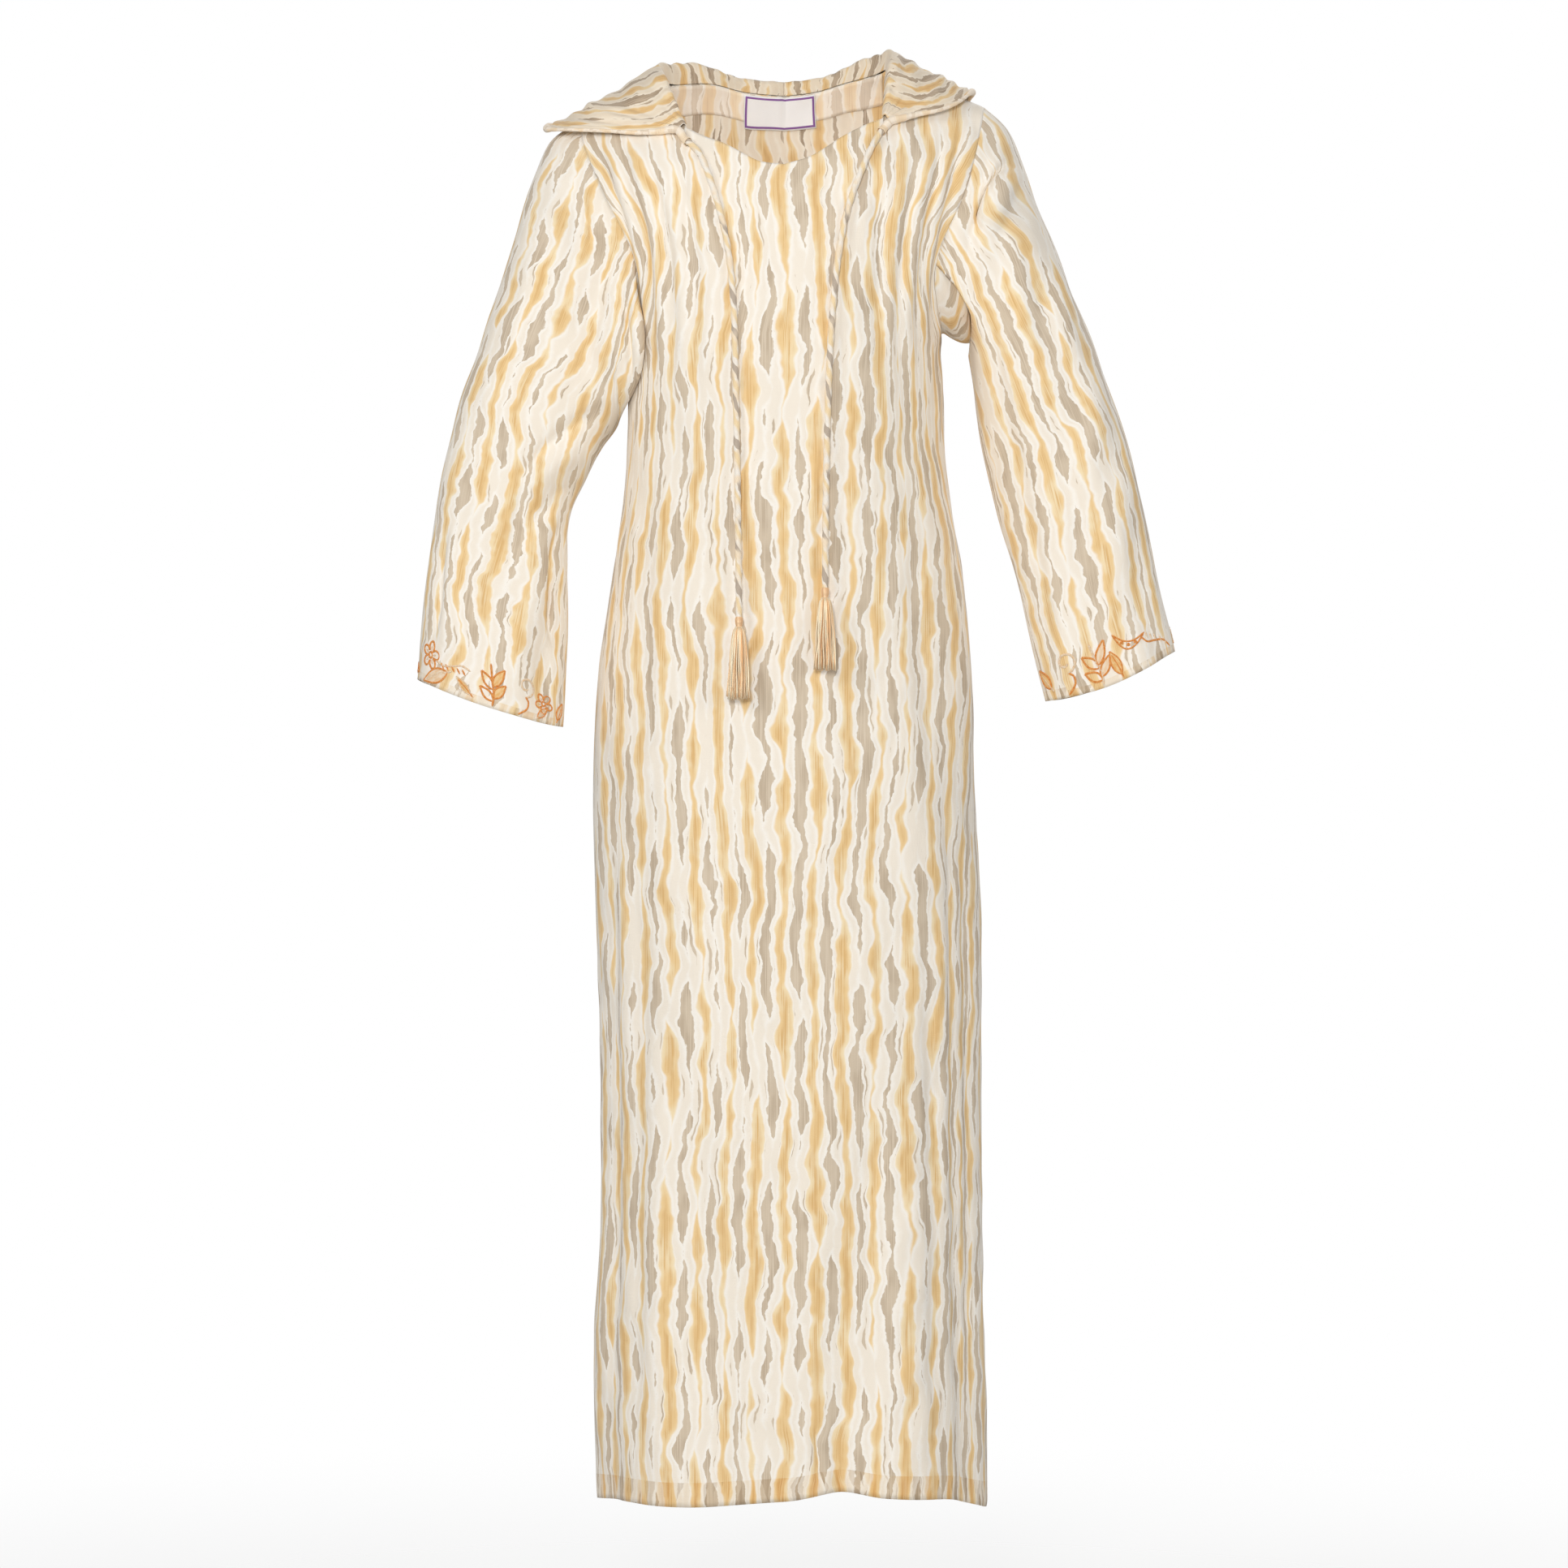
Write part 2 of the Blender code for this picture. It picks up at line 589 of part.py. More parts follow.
def gusset_grid(front_seam, back_seam, front_edge, back_edge, sag):
    """A square patch between four curves, from the underarm corner out to the sleeve, with its middle low."""
    p = np.linspace(0, 1, GUSSET_ROWS + 1)[:, None, None]
    q = np.linspace(0, 1, GUSSET_ROWS + 1)[None, :, None]
    one_way = mix(front_seam[:, None], back_edge[:, None], q)
    other_way = mix(back_seam[None, :], front_edge[None, :], p)
    corners = mix(mix(front_seam[0], front_seam[-1], p), mix(back_seam[-1], back_edge[-1], p), q)
    lower = sag * 16 * p * (1 - p) * q * (1 - q)
    return one_way + other_way - corners - lower * np.array([0.0, 0.0, 1.0])


def trim_gusset(grid):
    """Draws the gusset in all round, and its two narrow corners a good deal more, where three walls meet."""
    trimmed = trim_edges(grid, False, GUSSET_TRIM)
    for corner, inside in (((0, -1), (1, -2)), ((-1, 0), (-2, 1))):
        trimmed[corner] = mix(trimmed[corner], trimmed[inside], GUSSET_CORNER)
    return trimmed


def neck_seam(side, part):
    """(x, y, z) of the seam that carries the hood: the back neckline, then the front one to the corner."""
    sign = SIDES[side]
    back_u = sign * NECK_U * np.clip(part / NECK_SHARE, 0, 1)
    front_u = sign * mix(NECK_U, CORNER_U, np.clip((part - NECK_SHARE) / (1 - NECK_SHARE), 0, 1))
    back_x, back_z = top_edge(back_u, 1)
    front_x, front_z = top_edge(front_u, -1)
    on_back = part < NECK_SHARE
    x = np.where(on_back, back_x, front_x)
    z = np.where(on_back, back_z, front_z)
    return np.stack([x, np.where(on_back, body_y(x, z, 1), body_y(x, z, -1)), z], -1)


def lay_over(points, below, out, clear):
    """Moves each point that is lower than clear over the cloth below it out along that cloth's direction."""
    flat = points.reshape(-1, 3)
    for _ in range(LAY_ROUNDS):
        away = flat[:, None, :] - below[None, :, :]
        nearest = np.argmin((away**2).sum(-1), axis=1)
        height = ((flat - below[nearest]) * out[nearest]).sum(-1)
        flat = flat + out[nearest] * np.maximum(clear - height, 0)[:, None]
    return flat.reshape(points.shape)


def hood_columns():
    """Column places round the neck seam, the same as the panels' ones, so that the hood stands on them."""
    round_back = np.linspace(0, NECK_SHARE, BACK_COLUMNS + 1)
    return np.concatenate([round_back, np.linspace(NECK_SHARE, 1, CORNER_COLUMNS + 1)[1:]])


def hood_grid(side, below, out):
    """Columns from the centre back seam to the front corner, rows from the neck seam to the face edge.

    Each column stands up from the neck, rolls over, falls to the pouch's lowest line and comes up again.
    """
    sign = SIDES[side]
    part = hood_columns()
    seam = neck_seam(side, part) + np.array([0.0, 0.0, SEAM_GAP * 2])
    stand = column(POUCH, "stand", part)
    lean = column(POUCH, "lean", part)
    angle = np.clip(part / NECK_SHARE, 0, 1) * math.pi / 2
    away = np.stack([sign * np.sin(angle), np.cos(angle), 0 * angle], -1)
    roll = seam + away * lean[:, None] + np.array([0.0, 0.0, 1.0]) * stand[:, None]
    edge_table = HOOD_EDGE[side]
    edge = np.stack([column(edge_table, name, part) for name in ("across", "y", "z")], -1)
    edge = edge * np.array([sign, 1.0, 1.0])
    narrower = HOOD_EDGE[side][5].across / HOOD_EDGE["left"][5].across
    low_x = sign * column(POUCH, "across", part) * mix(1.0, narrower, np.clip(part / NECK_SHARE, 0, 1))
    low = np.stack([low_x, column(POUCH, "y", part), column(POUCH, "z", part)], -1)
    on_wing = np.clip((part - POUCH_ENDS) / (NECK_SHARE - POUCH_ENDS), 0, 1)[:, None]
    low = mix(low, mix(roll, edge, WING_FOLD), on_wing)
    first = mix(roll, low, NAPE_SHARE)
    second = mix(low, edge, 0.5) + (1 - on_wing) * np.array([0.0, POUCH_FULL, 0.0])
    knots = np.array(HOOD_KNOTS)
    steps = np.linspace(0, 1, HOOD_ROWS + 1)
    controls = np.stack([seam, roll, first, low, second, edge], 1)
    columns = [np.stack([smooth(steps, knots, line[:, k]) for k in range(3)], -1) for line in controls]
    grid = np.stack(columns, 1)
    over = np.clip((steps - knots[1]) / (knots[2] - knots[1]) * 2, 0, 1)[:, None, None]
    return mix(grid, lay_over(grid, below, out, HOOD_CLEAR), over)


def fine_yoke(face):
    """Close-set points of a panel above the waist, and their directions out."""
    up = np.concatenate([np.linspace(1, 0, 30), np.zeros(10)])
    down = np.concatenate([np.zeros(30), np.linspace(0, 0.2, 11)[1:]])
    points = panel(np.linspace(-1, 1, 61)[None, :], up[:, None], down[:, None], face)
    return points.reshape(-1, 3), normals(points, False, face > 0).reshape(-1, 3)


def add_hood(side, below, out):
    flip = side == "left"
    grid = hood_grid(side, below, out)
    grid[:, 0, 0] += SIDES[side] * SEAM_GAP / 2
    steps = np.linspace(0, 1, HOOD_ROWS + 1)[:, None]
    thickness = mix(CLOTH, CASING_THICK, np.clip((steps - CASING_FROM) / (1 - CASING_FROM), 0, 1) ** 2)
    thickness = np.broadcast_to(thickness, grid.shape[:2])
    out_of_hood = normals(grid, False, flip)
    out_of_hood[:, 0, 0] = 0.0
    out_of_hood[:, 0] /= np.linalg.norm(out_of_hood[:, 0], axis=-1, keepdims=True)
    add_wall(f"hood_{side}", grid, out_of_hood, thickness, False, flip)


def add_cord(side):
    route = np.array(CORDS[side])
    reach = np.concatenate([[0], np.cumsum(np.linalg.norm(np.diff(route, axis=0), axis=1))])
    count = max(2, round(reach[-1] / CORD_SPACING)) + 1
    along = np.linspace(0, reach[-1], count)
    points = np.stack([smooth(along, reach, route[:, k]) for k in range(3)], -1)
    curve = bpy.data.curves.new(f"drawstring_{side}", "CURVE")
    curve.dimensions = "3D"
    curve.bevel_depth = CORD_DIAMETER / 2
    curve.bevel_resolution = 2
    curve.use_fill_caps = True
    spline = curve.splines.new("POLY")
    spline.points.add(len(points) - 1)
    spline.points.foreach_set("co", np.column_stack([points, np.ones(len(points))]).ravel())
    add_object(f"drawstring_{side}", curve, voile())


def turned(profile, sides, centre):
    """Points and faces of a closed turned shape from (radius, drop) pairs."""
    turn = np.arange(sides) * 2 * math.pi / sides
    rings = [np.stack([r * np.cos(turn), r * np.sin(turn), np.full(sides, -d)], -1) for r, d in profile]
    points = np.concatenate(rings) + centre
    faces = [list(range(sides))]
    for ring in range(len(profile) - 1):
        for k in range(sides):
            n = (k + 1) % sides
            a, b = ring * sides + k, ring * sides + n
            faces.append([a, a + sides, b + sides, b])
    faces.append([(len(profile) - 1) * sides + k for k in reversed(range(sides))])
    return points, faces


def strands(top):
    """All strands of one tassel: three-sided, rooted inside the head and spread towards their tips."""
    points, faces = [], []
    rows = np.array([0.0, 0.35, 1.0])
    for ring_number, ring in enumerate(STRAND_RINGS):
        for k in range(ring.count):
            turn = (k + 0.5 * (ring_number % 2)) * 2 * math.pi / ring.count
            length = TASSEL_LENGTH - STRAND_UNEVEN * (1 + math.sin(5.3 * k + 2.1 * ring_number)) / 2
            spread = mix(ring.root, ring.tip, rows**0.8)
            x = spread * math.cos(turn)
            y = spread * math.sin(turn) * mix(1.0, TASSEL_FLAT, rows) - STRAND_FORWARD * rows
            z = -mix(HEAD_PROFILE[-2][1] + 0.001, length, rows)
            for row in range(len(rows)):
                for corner in range(3):
                    bend = turn + corner * 2 * math.pi / 3
                    step = np.array([math.cos(bend), math.sin(bend), 0.0]) * STRAND_RADIUS
                    points.append(np.array([x[row], y[row], z[row]]) + step + top)
            first = len(points) - 3 * len(rows)
            faces.append([first, first + 1, first + 2])
            for row in range(len(rows) - 1):
                for corner in range(3):
                    a = first + 3 * row + corner
                    b = first + 3 * row + (corner + 1) % 3
                    faces.append([a, a + 3, b + 3, b])
            last = first + 3 * (len(rows) - 1)
            faces.append([last + 2, last + 1, last])
    return points, faces


def add_tassel(side):
    top = np.array(CORDS[side][-1]) + np.array([0.0, -0.0015, -SEAM_GAP])
    head_points, head_faces = turned(HEAD_PROFILE, HEAD_SIDES, top)
    head = bpy.data.meshes.new(f"tassel_{side}")
    head.from_pydata(head_points, [], head_faces)
    made = add_object(f"tassel_{side}", head, tassel_silk())
    loose_points, loose_faces = strands(top)
    loose = bpy.data.meshes.new(f"strands_{side}")
    loose.from_pydata(loose_points, [], loose_faces)
    helper = add_object(f"strands_{side}", loose, tassel_silk())
    helper.hide_render = True
    helper.display_type = "WIRE"
    join = made.modifiers.new("strands", "BOOLEAN")
    join.operation = "UNION"
    join.object = helper


def agreed_directions(grids, outs):
    """The grids' directions, made one wherever sewn pieces share a point, so that their walls meet square."""
    points = np.concatenate([grid.reshape(-1, 3) for grid in grids])
    every = np.concatenate([out.reshape(-1, 3) for out in outs])
    _, shared = np.unique(np.round(points, 5), axis=0, return_inverse=True)
    shared = shared.ravel()
    total = np.zeros((shared.max() + 1, 3))
    np.add.at(total, shared, every)
    total /= np.linalg.norm(total, axis=-1, keepdims=True)
    ends = np.cumsum([grid.shape[0] * grid.shape[1] for grid in grids])[:-1]
    return [share.reshape(grid.shape) for share, grid in zip(np.split(total[shared], ends), grids)]


def clear_scene():
    for old in list(bpy.data.objects):
        bpy.data.objects.remove(old)


def build():
    clear_scene()
    front, back = panel_grid(-1), panel_grid(1)
    pieces = {"front_panel": (front, False, False), "back_panel": (back, False, True)}
    sewn = YOKE_ROWS - GUSSET_ROWS
    for side in SIDES:
        loop, front_edge, back_edge = sleeve_loop(side, front, back)
        front_seam = armhole_run(front, side)[: sewn - 1 : -1]
        back_seam = armhole_run(back, side)[: sewn - 1 : -1]
        gusset = gusset_grid(front_seam, back_seam, front_edge, back_edge, GUSSET_SAG[side])
        pieces[f"sleeve_{side}"] = (sleeve_grid(side, loop), True, side == "right")
        pieces[f"gusset_{side}"] = (gusset, False, side == "right")
    grids = [grid for grid, _, _ in pieces.values()]
    outs = agreed_directions(grids, [normals(*piece) for piece in pieces.values()])
    for (name, (grid, around, flip)), out in zip(pieces.items(), outs):
        if name.startswith("gusset"):
            add_wall(name, trim_gusset(grid), out, GUSSET, around, flip)
        else:
            add_wall(name, trim_edges(grid, around), out, CLOTH, around, flip)
    add_facing(back, outs[1])
    add_label(back, outs[1])
    layers = [fine_yoke(-1), fine_yoke(1)]
    for name, grid, out in zip(pieces, grids, outs):
        if name.startswith("sleeve"):
            layers.append((grid.reshape(-1, 3), out.reshape(-1, 3)))
    below = np.concatenate([points for points, _ in layers])
    out = np.concatenate([out for _, out in layers])
    for side in SIDES:
        add_hood(side, below, out)
        add_cord(side)
        add_tassel(side)


def strip(back, out, columns, rows):
    """Points and directions of the back panel on chosen columns, at rows that may lie between its own."""
    rows = np.array(rows)
    low = rows.astype(int)
    part = (rows - low)[:, None, None]
    back, out = back[:, columns], out[:, columns]
    return mix(back[low], back[low + 1], part), mix(out[low], out[low + 1], part)


def add_facing(back, out):
    """The band inside the back neck, from the panel's points moved in past its wall."""
    inside = np.flatnonzero(np.abs(panel_columns(1)) < NECK_U - 1e-9)
    points, turned_out = strip(back, out, inside, FACING_ROWS)
    add_wall("neck_facing", points - turned_out * (CLOTH + SEAM_GAP), turned_out, FACING, False, True)


def add_label(back, out):
    """The woven label inside the facing, from the panel's points round the middle of the neck."""
    middle = back.shape[1] // 2
    wide = np.arange(middle - LABEL_COLUMNS, middle + LABEL_COLUMNS + 1)
    points, turned_out = strip(back, out, wide, LABEL_ROWS)
    points = points - turned_out * (CLOTH + FACING + 2 * SEAM_GAP)
    add_wall("neck_label", points, turned_out, LABEL, False, True, woven_label())


build()
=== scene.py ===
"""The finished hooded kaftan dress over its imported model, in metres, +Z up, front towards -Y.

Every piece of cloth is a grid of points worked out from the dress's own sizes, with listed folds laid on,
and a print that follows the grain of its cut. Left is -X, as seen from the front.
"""

import math
from collections import namedtuple

import bmesh
import bpy
import numpy as np
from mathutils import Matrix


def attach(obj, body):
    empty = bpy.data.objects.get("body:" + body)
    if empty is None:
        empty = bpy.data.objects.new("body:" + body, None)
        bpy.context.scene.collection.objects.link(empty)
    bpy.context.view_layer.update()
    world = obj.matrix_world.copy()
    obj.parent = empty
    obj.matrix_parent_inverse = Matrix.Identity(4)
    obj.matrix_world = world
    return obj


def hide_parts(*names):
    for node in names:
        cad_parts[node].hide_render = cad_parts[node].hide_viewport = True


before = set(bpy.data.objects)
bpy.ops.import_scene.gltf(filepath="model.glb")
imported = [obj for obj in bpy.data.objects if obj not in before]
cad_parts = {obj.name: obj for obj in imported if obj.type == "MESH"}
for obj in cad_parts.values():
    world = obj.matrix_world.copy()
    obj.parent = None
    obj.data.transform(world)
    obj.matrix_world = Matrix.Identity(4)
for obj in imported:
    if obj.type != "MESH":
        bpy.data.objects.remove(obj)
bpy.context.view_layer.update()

# Camera: level, at the middle of the dress's height, far off, as a fashion shot of the whole front.

CAMERA_DISTANCE = 6.0
CAMERA_HEIGHT = -0.6437
CAMERA_LENS = 145.2

camera_lens = bpy.data.cameras.new("camera")
camera_lens.lens = CAMERA_LENS
camera_lens.sensor_width = 36.0
camera = bpy.data.objects.new("camera", camera_lens)
camera.location = (0.0, -CAMERA_DISTANCE, CAMERA_HEIGHT)
camera.rotation_euler = (math.pi / 2, 0.0, 0.0)
bpy.context.scene.collection.objects.link(camera)
bpy.context.scene.camera = camera

# Drawstring: two free ends of a twisted tube of the print, cut on the bias, so its stripes run round it.
# Each leaves the hood's casing at the front neck corner and hangs down the front to its tassel.

CORD_DIAMETER = 0.006
CORD_POINTS = 34
CORD_SIDES = 20
CORD_RINGS = 300
CORD_TURN = 0.034
CORD_LOBES = 0.07
CORD_CREAM = (0.93, 0.86, 0.76)
CORD_PEACH = (0.92, 0.76, 0.56)
CORD_AMBER = (0.91, 0.71, 0.43)
CORD_TAUPE = (0.52, 0.43, 0.34)
SIDES = {"left": -1.0, "right": 1.0}
CORDS = {
    "left": (
        (-0.0930, -0.0768, -0.0400),
        (-0.0865, -0.0822, -0.0455),
        (-0.0790, -0.0894, -0.0545),
        (-0.0705, -0.0990, -0.0750),
        (-0.0625, -0.1076, -0.1000),
        (-0.0555, -0.1145, -0.1280),
        (-0.0500, -0.1202, -0.1620),
        (-0.0465, -0.1260, -0.2050),
        (-0.0450, -0.1298, -0.2600),
        (-0.0440, -0.1303, -0.3200),
        (-0.0430, -0.1303, -0.3800),
        (-0.0422, -0.1303, -0.4400),
        (-0.0418, -0.1303, -0.4885),
    ),
    "right": (
        (0.0935, -0.0708, -0.0290),
        (0.0885, -0.0764, -0.0360),
        (0.0820, -0.0854, -0.0480),
        (0.0735, -0.0961, -0.0680),
        (0.0640, -0.1054, -0.0930),
        (0.0560, -0.1133, -0.1220),
        (0.0495, -0.1200, -0.1600),
        (0.0450, -0.1263, -0.2050),
        (0.0420, -0.1304, -0.2600),
        (0.0400, -0.1310, -0.3200),
        (0.0388, -0.1310, -0.3800),
        (0.0384, -0.1310, -0.4200),
        (0.0382, -0.1310, -0.4614),
    ),
}


def smooth(at, knots, values):
    """A smooth curve through values at rising knots: cubic pieces that share their slopes where they meet."""
    knots = np.asarray(knots, float)
    values = np.asarray(values, float)
    reach = np.concatenate([knots[1:2] - knots[:1], knots[2:] - knots[:-2], knots[-1:] - knots[-2:-1]])
    rise = np.concatenate([values[1:2] - values[:1], values[2:] - values[:-2], values[-1:] - values[-2:-1]])
    slopes = rise / reach
    place = np.clip(np.searchsorted(knots, at, side="right") - 1, 0, len(knots) - 2)
    width = knots[place + 1] - knots[place]
    f = np.clip((at - knots[place]) / width, 0.0, 1.0)
    start = (1 + 2 * f) * (1 - f) ** 2 * values[place] + f * (1 - f) ** 2 * width * slopes[place]
    end = f**2 * (3 - 2 * f) * values[place + 1] + f**2 * (f - 1) * width * slopes[place + 1]
    return start + end


def mix(a, b, f):
    return a + (b - a) * f


def ease(value, low, high):
    """0 below low, 1 above high, and a soft S between."""
    f = np.clip((value - low) / (high - low), 0.0, 1.0)
    return f * f * (3 - 2 * f)


def reach_along(points):
    """How far along the line each of its points lies."""
    return np.concatenate([[0], np.cumsum(np.linalg.norm(np.diff(points, axis=0), axis=1))])


def through(route, count):
    """Evenly spaced points on the smooth curve through a route's given points."""
    route = np.asarray(route, float)
    reach = reach_along(route)
    along = np.linspace(0, reach[-1], count)
    return np.stack([smooth(along, reach, values) for values in route.T], -1)


def unit(v):
    return v / np.maximum(np.linalg.norm(v, axis=-1, keepdims=True), 1e-12)


class Spot:
    """A number or colour that a material works out at each spot, so that sums with it read as sums."""

    def __init__(self, socket):
        self.socket = socket
        self.tree = socket.id_data

    def __add__(self, other):
        return calc("ADD", self, other)

    def __sub__(self, other):
        return calc("SUBTRACT", self, other)

    def __rsub__(self, other):
        return calc("SUBTRACT", other, self)

    def __mul__(self, other):
        return calc("MULTIPLY", self, other)

    def __truediv__(self, other):
        return calc("DIVIDE", self, other)

    def __abs__(self):
        return calc("ABSOLUTE", self)


def wire(tree, kind, inputs=(), output=0, **settings):
    """Adds a node and gives one output. inputs has a value or a Spot for each named or numbered socket."""
    made = tree.nodes.new(kind)
    for name, value in settings.items():
        setattr(made, name, value)
    for socket, value in dict(inputs).items():
        if isinstance(value, Spot):
            tree.links.new(value.socket, made.inputs[socket])
        else:
            made.inputs[socket].default_value = value
    return Spot(made.outputs[output])


def calc(operation, *values):
    tree = next(value.tree for value in values if isinstance(value, Spot))
    return wire(tree, "ShaderNodeMath", enumerate(values), operation=operation)


def patches(across, along, per_across, per_along, detail=1.0):
    """Soft random patches, 0.5 on average, at so many to the metre across and along the cloth."""
    place = wire(across.tree, "ShaderNodeCombineXYZ", {0: across * per_across, 1: along * per_along})
    inputs = {"Vector": place, "Scale": 1.0, "Detail": detail}
    return wire(across.tree, "ShaderNodeTexNoise", inputs, noise_dimensions="2D")


def swing(value, size):
    """A patch value, 0.5 on average, as a shift of about size either way."""
    return (value - 0.5) * (size * 3)


def soft_step(value, low, high):
    inputs = {"Value": value, "From Min": low, "From Max": high}
    return wire(value.tree, "ShaderNodeMapRange", inputs, interpolation_type="SMOOTHSTEP")


def tint(factor, a, b, blend="MIX"):
    """Colour a turned to colour b by a factor."""
    tree = next(value.tree for value in (factor, a, b) if isinstance(value, Spot))
    a, b = ((*colour, 1.0) if isinstance(colour, tuple) else colour for colour in (a, b))
    return wire(tree, "ShaderNodeMix", {0: factor, 6: a, 7: b}, 2, data_type="RGBA", blend_type=blend)


def cloth_place(made):
    """(across, along) on the cut cloth, in metres, from the piece's own UV map."""
    uv = wire(made.node_tree, "ShaderNodeUVMap", uv_map="cloth")
    return [wire(made.node_tree, "ShaderNodeSeparateXYZ", {0: uv}, way) for way in (0, 1)]


def finish(name, roughness, sheen=0.0):
    """A material with a plain shader: constants sit on the shader's own sockets."""
    made = bpy.data.materials.new(name)
    made.use_nodes = True
    shader = made.node_tree.nodes["Principled BSDF"]
    shader.inputs["Roughness"].default_value = roughness
    shader.inputs["Sheen Weight"].default_value = sheen
    shader.inputs["Sheen Roughness"].default_value = 0.5
    shader.inputs["Specular IOR Level"].default_value = 0.25
    return made, shader


def bump(height, depth, strength, under=None):
    """A relief so deep, over another relief where one is given."""
    inputs = {"Height": height, "Distance": depth, "Strength": strength}
    if under:
        inputs["Normal"] = under
    return wire(height.tree, "ShaderNodeBump", inputs)


def paint(shader, colour, relief):
    """Gives a finish its colour and its relief."""
    colour.tree.links.new(colour.socket, shader.inputs["Base Color"])
    colour.tree.links.new(relief.socket, shader.inputs["Normal"])


def bias_cord():
    """The twisted tube: broken stripes of the print climb round it, with fine creases along the twist."""
    made, shader = finish("bias_cord", 0.82, 0.15)
    around, along = cloth_place(made)
    climb = along / CORD_TURN - around
    uneven = patches(around, along, 1.3, 55.0, 2.0)
    stripe = calc("FRACT", climb + swing(uneven, 0.16))
    here = soft_step(patches(around, along, 0.3, 26.0), 0.40, 0.47)
    taupe = soft_step(abs(stripe - 0.25), 0.17, 0.13) * here
    amber = soft_step(abs(stripe - 0.70), 0.20, 0.06)
    ground = tint(soft_step(uneven, 0.40, 0.62), CORD_CREAM, CORD_PEACH)
    colour = tint(taupe, tint(amber, ground, CORD_AMBER), CORD_TAUPE)
    paint(shader, colour, bump(calc("SINE", climb * (2 * math.pi * 9)), 0.0002, 0.5))
    return made


def grid_faces(rows, columns, around=False, flip=False):
    """Square faces of a grid of points: the places of each face's four corners in it."""
    place = np.arange(rows * columns).reshape(rows, columns)
    if around:
        place = np.hstack([place, place[:, :1]])
    corners = np.stack([place[:-1, :-1], place[1:, :-1], place[1:, 1:], place[:-1, 1:]], -1).reshape(-1, 4)
    return corners[:, ::-1] if flip else corners


def placed(name, mesh, finishes, kinds=None):
    """A mesh as a smooth piece in the scene, with one finish for each kind of face."""
    for one in finishes:
        mesh.materials.append(one)
    if kinds is not None:
        mesh.polygons.foreach_set("material_index", kinds.astype(np.int32).ravel())
    mesh.shade_smooth()
    made = bpy.data.objects.new(name, mesh)
    bpy.context.scene.collection.objects.link(made)
    return made


def put_map(mesh, places):
    """The mesh's UV map, from each face corner's place on the cut cloth."""
    layer = mesh.uv_layers.new(name="cloth")
    layer.uv.foreach_set("vector", places.astype(np.float32).ravel())


def grid_piece(name, points, finishes, across, along, around=False, flip=False, kinds=None):
    """A piece from a grid of points, with its UV map in metres on the cut cloth and its finishes.

    Where the grid runs around, across and along have one more column than it. Where the map breaks at a seam,
    across is a pair instead: the places of each face's one side, and those of its other side.
    """
    rows, columns = points.shape[:2]
    mesh = bpy.data.meshes.new(name)
    mesh.from_pydata(points.reshape(-1, 3), [], grid_faces(rows, columns, around, flip).tolist())
    starts, ends = across if isinstance(across, tuple) else (across[:, :-1], across[:, 1:])
    u = np.stack([starts[:-1], starts[1:], ends[1:], ends[:-1]], -1).reshape(-1, 4)
    first, last = along[:, :-1], along[:, 1:]
    v = np.stack([first[:-1], first[1:], last[1:], last[:-1]], -1).reshape(-1, 4)
    if flip:
        u, v = u[:, ::-1], v[:, ::-1]
    put_map(mesh, np.stack([u, v], -1))
    return placed(name, mesh, finishes, kinds)


def round_steps(sides):
    """The angles of so many even steps round a ring."""
    return np.arange(sides) * 2 * math.pi / sides


def tube_points(path, radius, sides, level=(0.0, 1.0, 0.0)):
    """Rings of sides points round a path: radius may vary along the rows and round the ring."""
    forward = unit(np.gradient(path, axis=0))
    side = unit(np.cross(forward, np.array(level)))
    up = np.cross(side, forward)
    turn = round_steps(sides)[:, None]
    spread = np.cos(turn) * side[:, None] + np.sin(turn) * up[:, None]
    return path[:, None] + spread * np.broadcast_to(radius, (len(path), sides))[..., None]


def close_ends(made, rows, sides, flip=False):
    """Closes a tube's two ends with one face each."""
    mesh = made.data
    work = bmesh.new()
    work.from_mesh(mesh)
    work.verts.ensure_lookup_table()
    uv = work.loops.layers.uv.active
    for first, turned in ((0, False), ((rows - 1) * sides, True)):
        ring = [work.verts[first + k] for k in range(sides)]
        face = work.faces.new(ring if turned != flip else ring[::-1])
        face.smooth = False
        along = 0.0 if first == 0 else max(loop[uv].uv.y for loop in ring[0].link_loops)
        for loop in face.loops:
            loop[uv].uv = (0.5, along)
    work.to_mesh(mesh)
    work.free()


cord_cloth = bias_cord()
cord_pieces = {}
for side_name in SIDES:
    cord_path = through(CORDS[side_name], CORD_RINGS)
    cord_reach = float(reach_along(cord_path)[-1])
    cord_along = np.linspace(0, cord_reach, CORD_RINGS)[:, None]
    cord_twist = round_steps(CORD_SIDES) - cord_along * 2 * math.pi / CORD_TURN
    cord_radius = CORD_DIAMETER / 2 * (1 + CORD_LOBES * np.cos(2 * cord_twist))
    cord_points = tube_points(cord_path, cord_radius, CORD_SIDES)
    cord_u, cord_v = np.broadcast_arrays(np.linspace(0, 1, CORD_SIDES + 1), cord_along)
    piece = grid_piece(f"bias_cord_{side_name}", cord_points, [cord_cloth], cord_u, cord_v, True)
    close_ends(piece, CORD_RINGS, CORD_SIDES)
    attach(piece, "root")
    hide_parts(f"drawstring_{side_name}")
    cord_pieces[side_name] = (piece, through(CORDS[side_name], CORD_POINTS), cord_reach)

# Tassels: silky thread wound into a small head, over a skirt of loose strands, copper to peach. Each hangs
# from the end of its drawstring, in front of the dress.

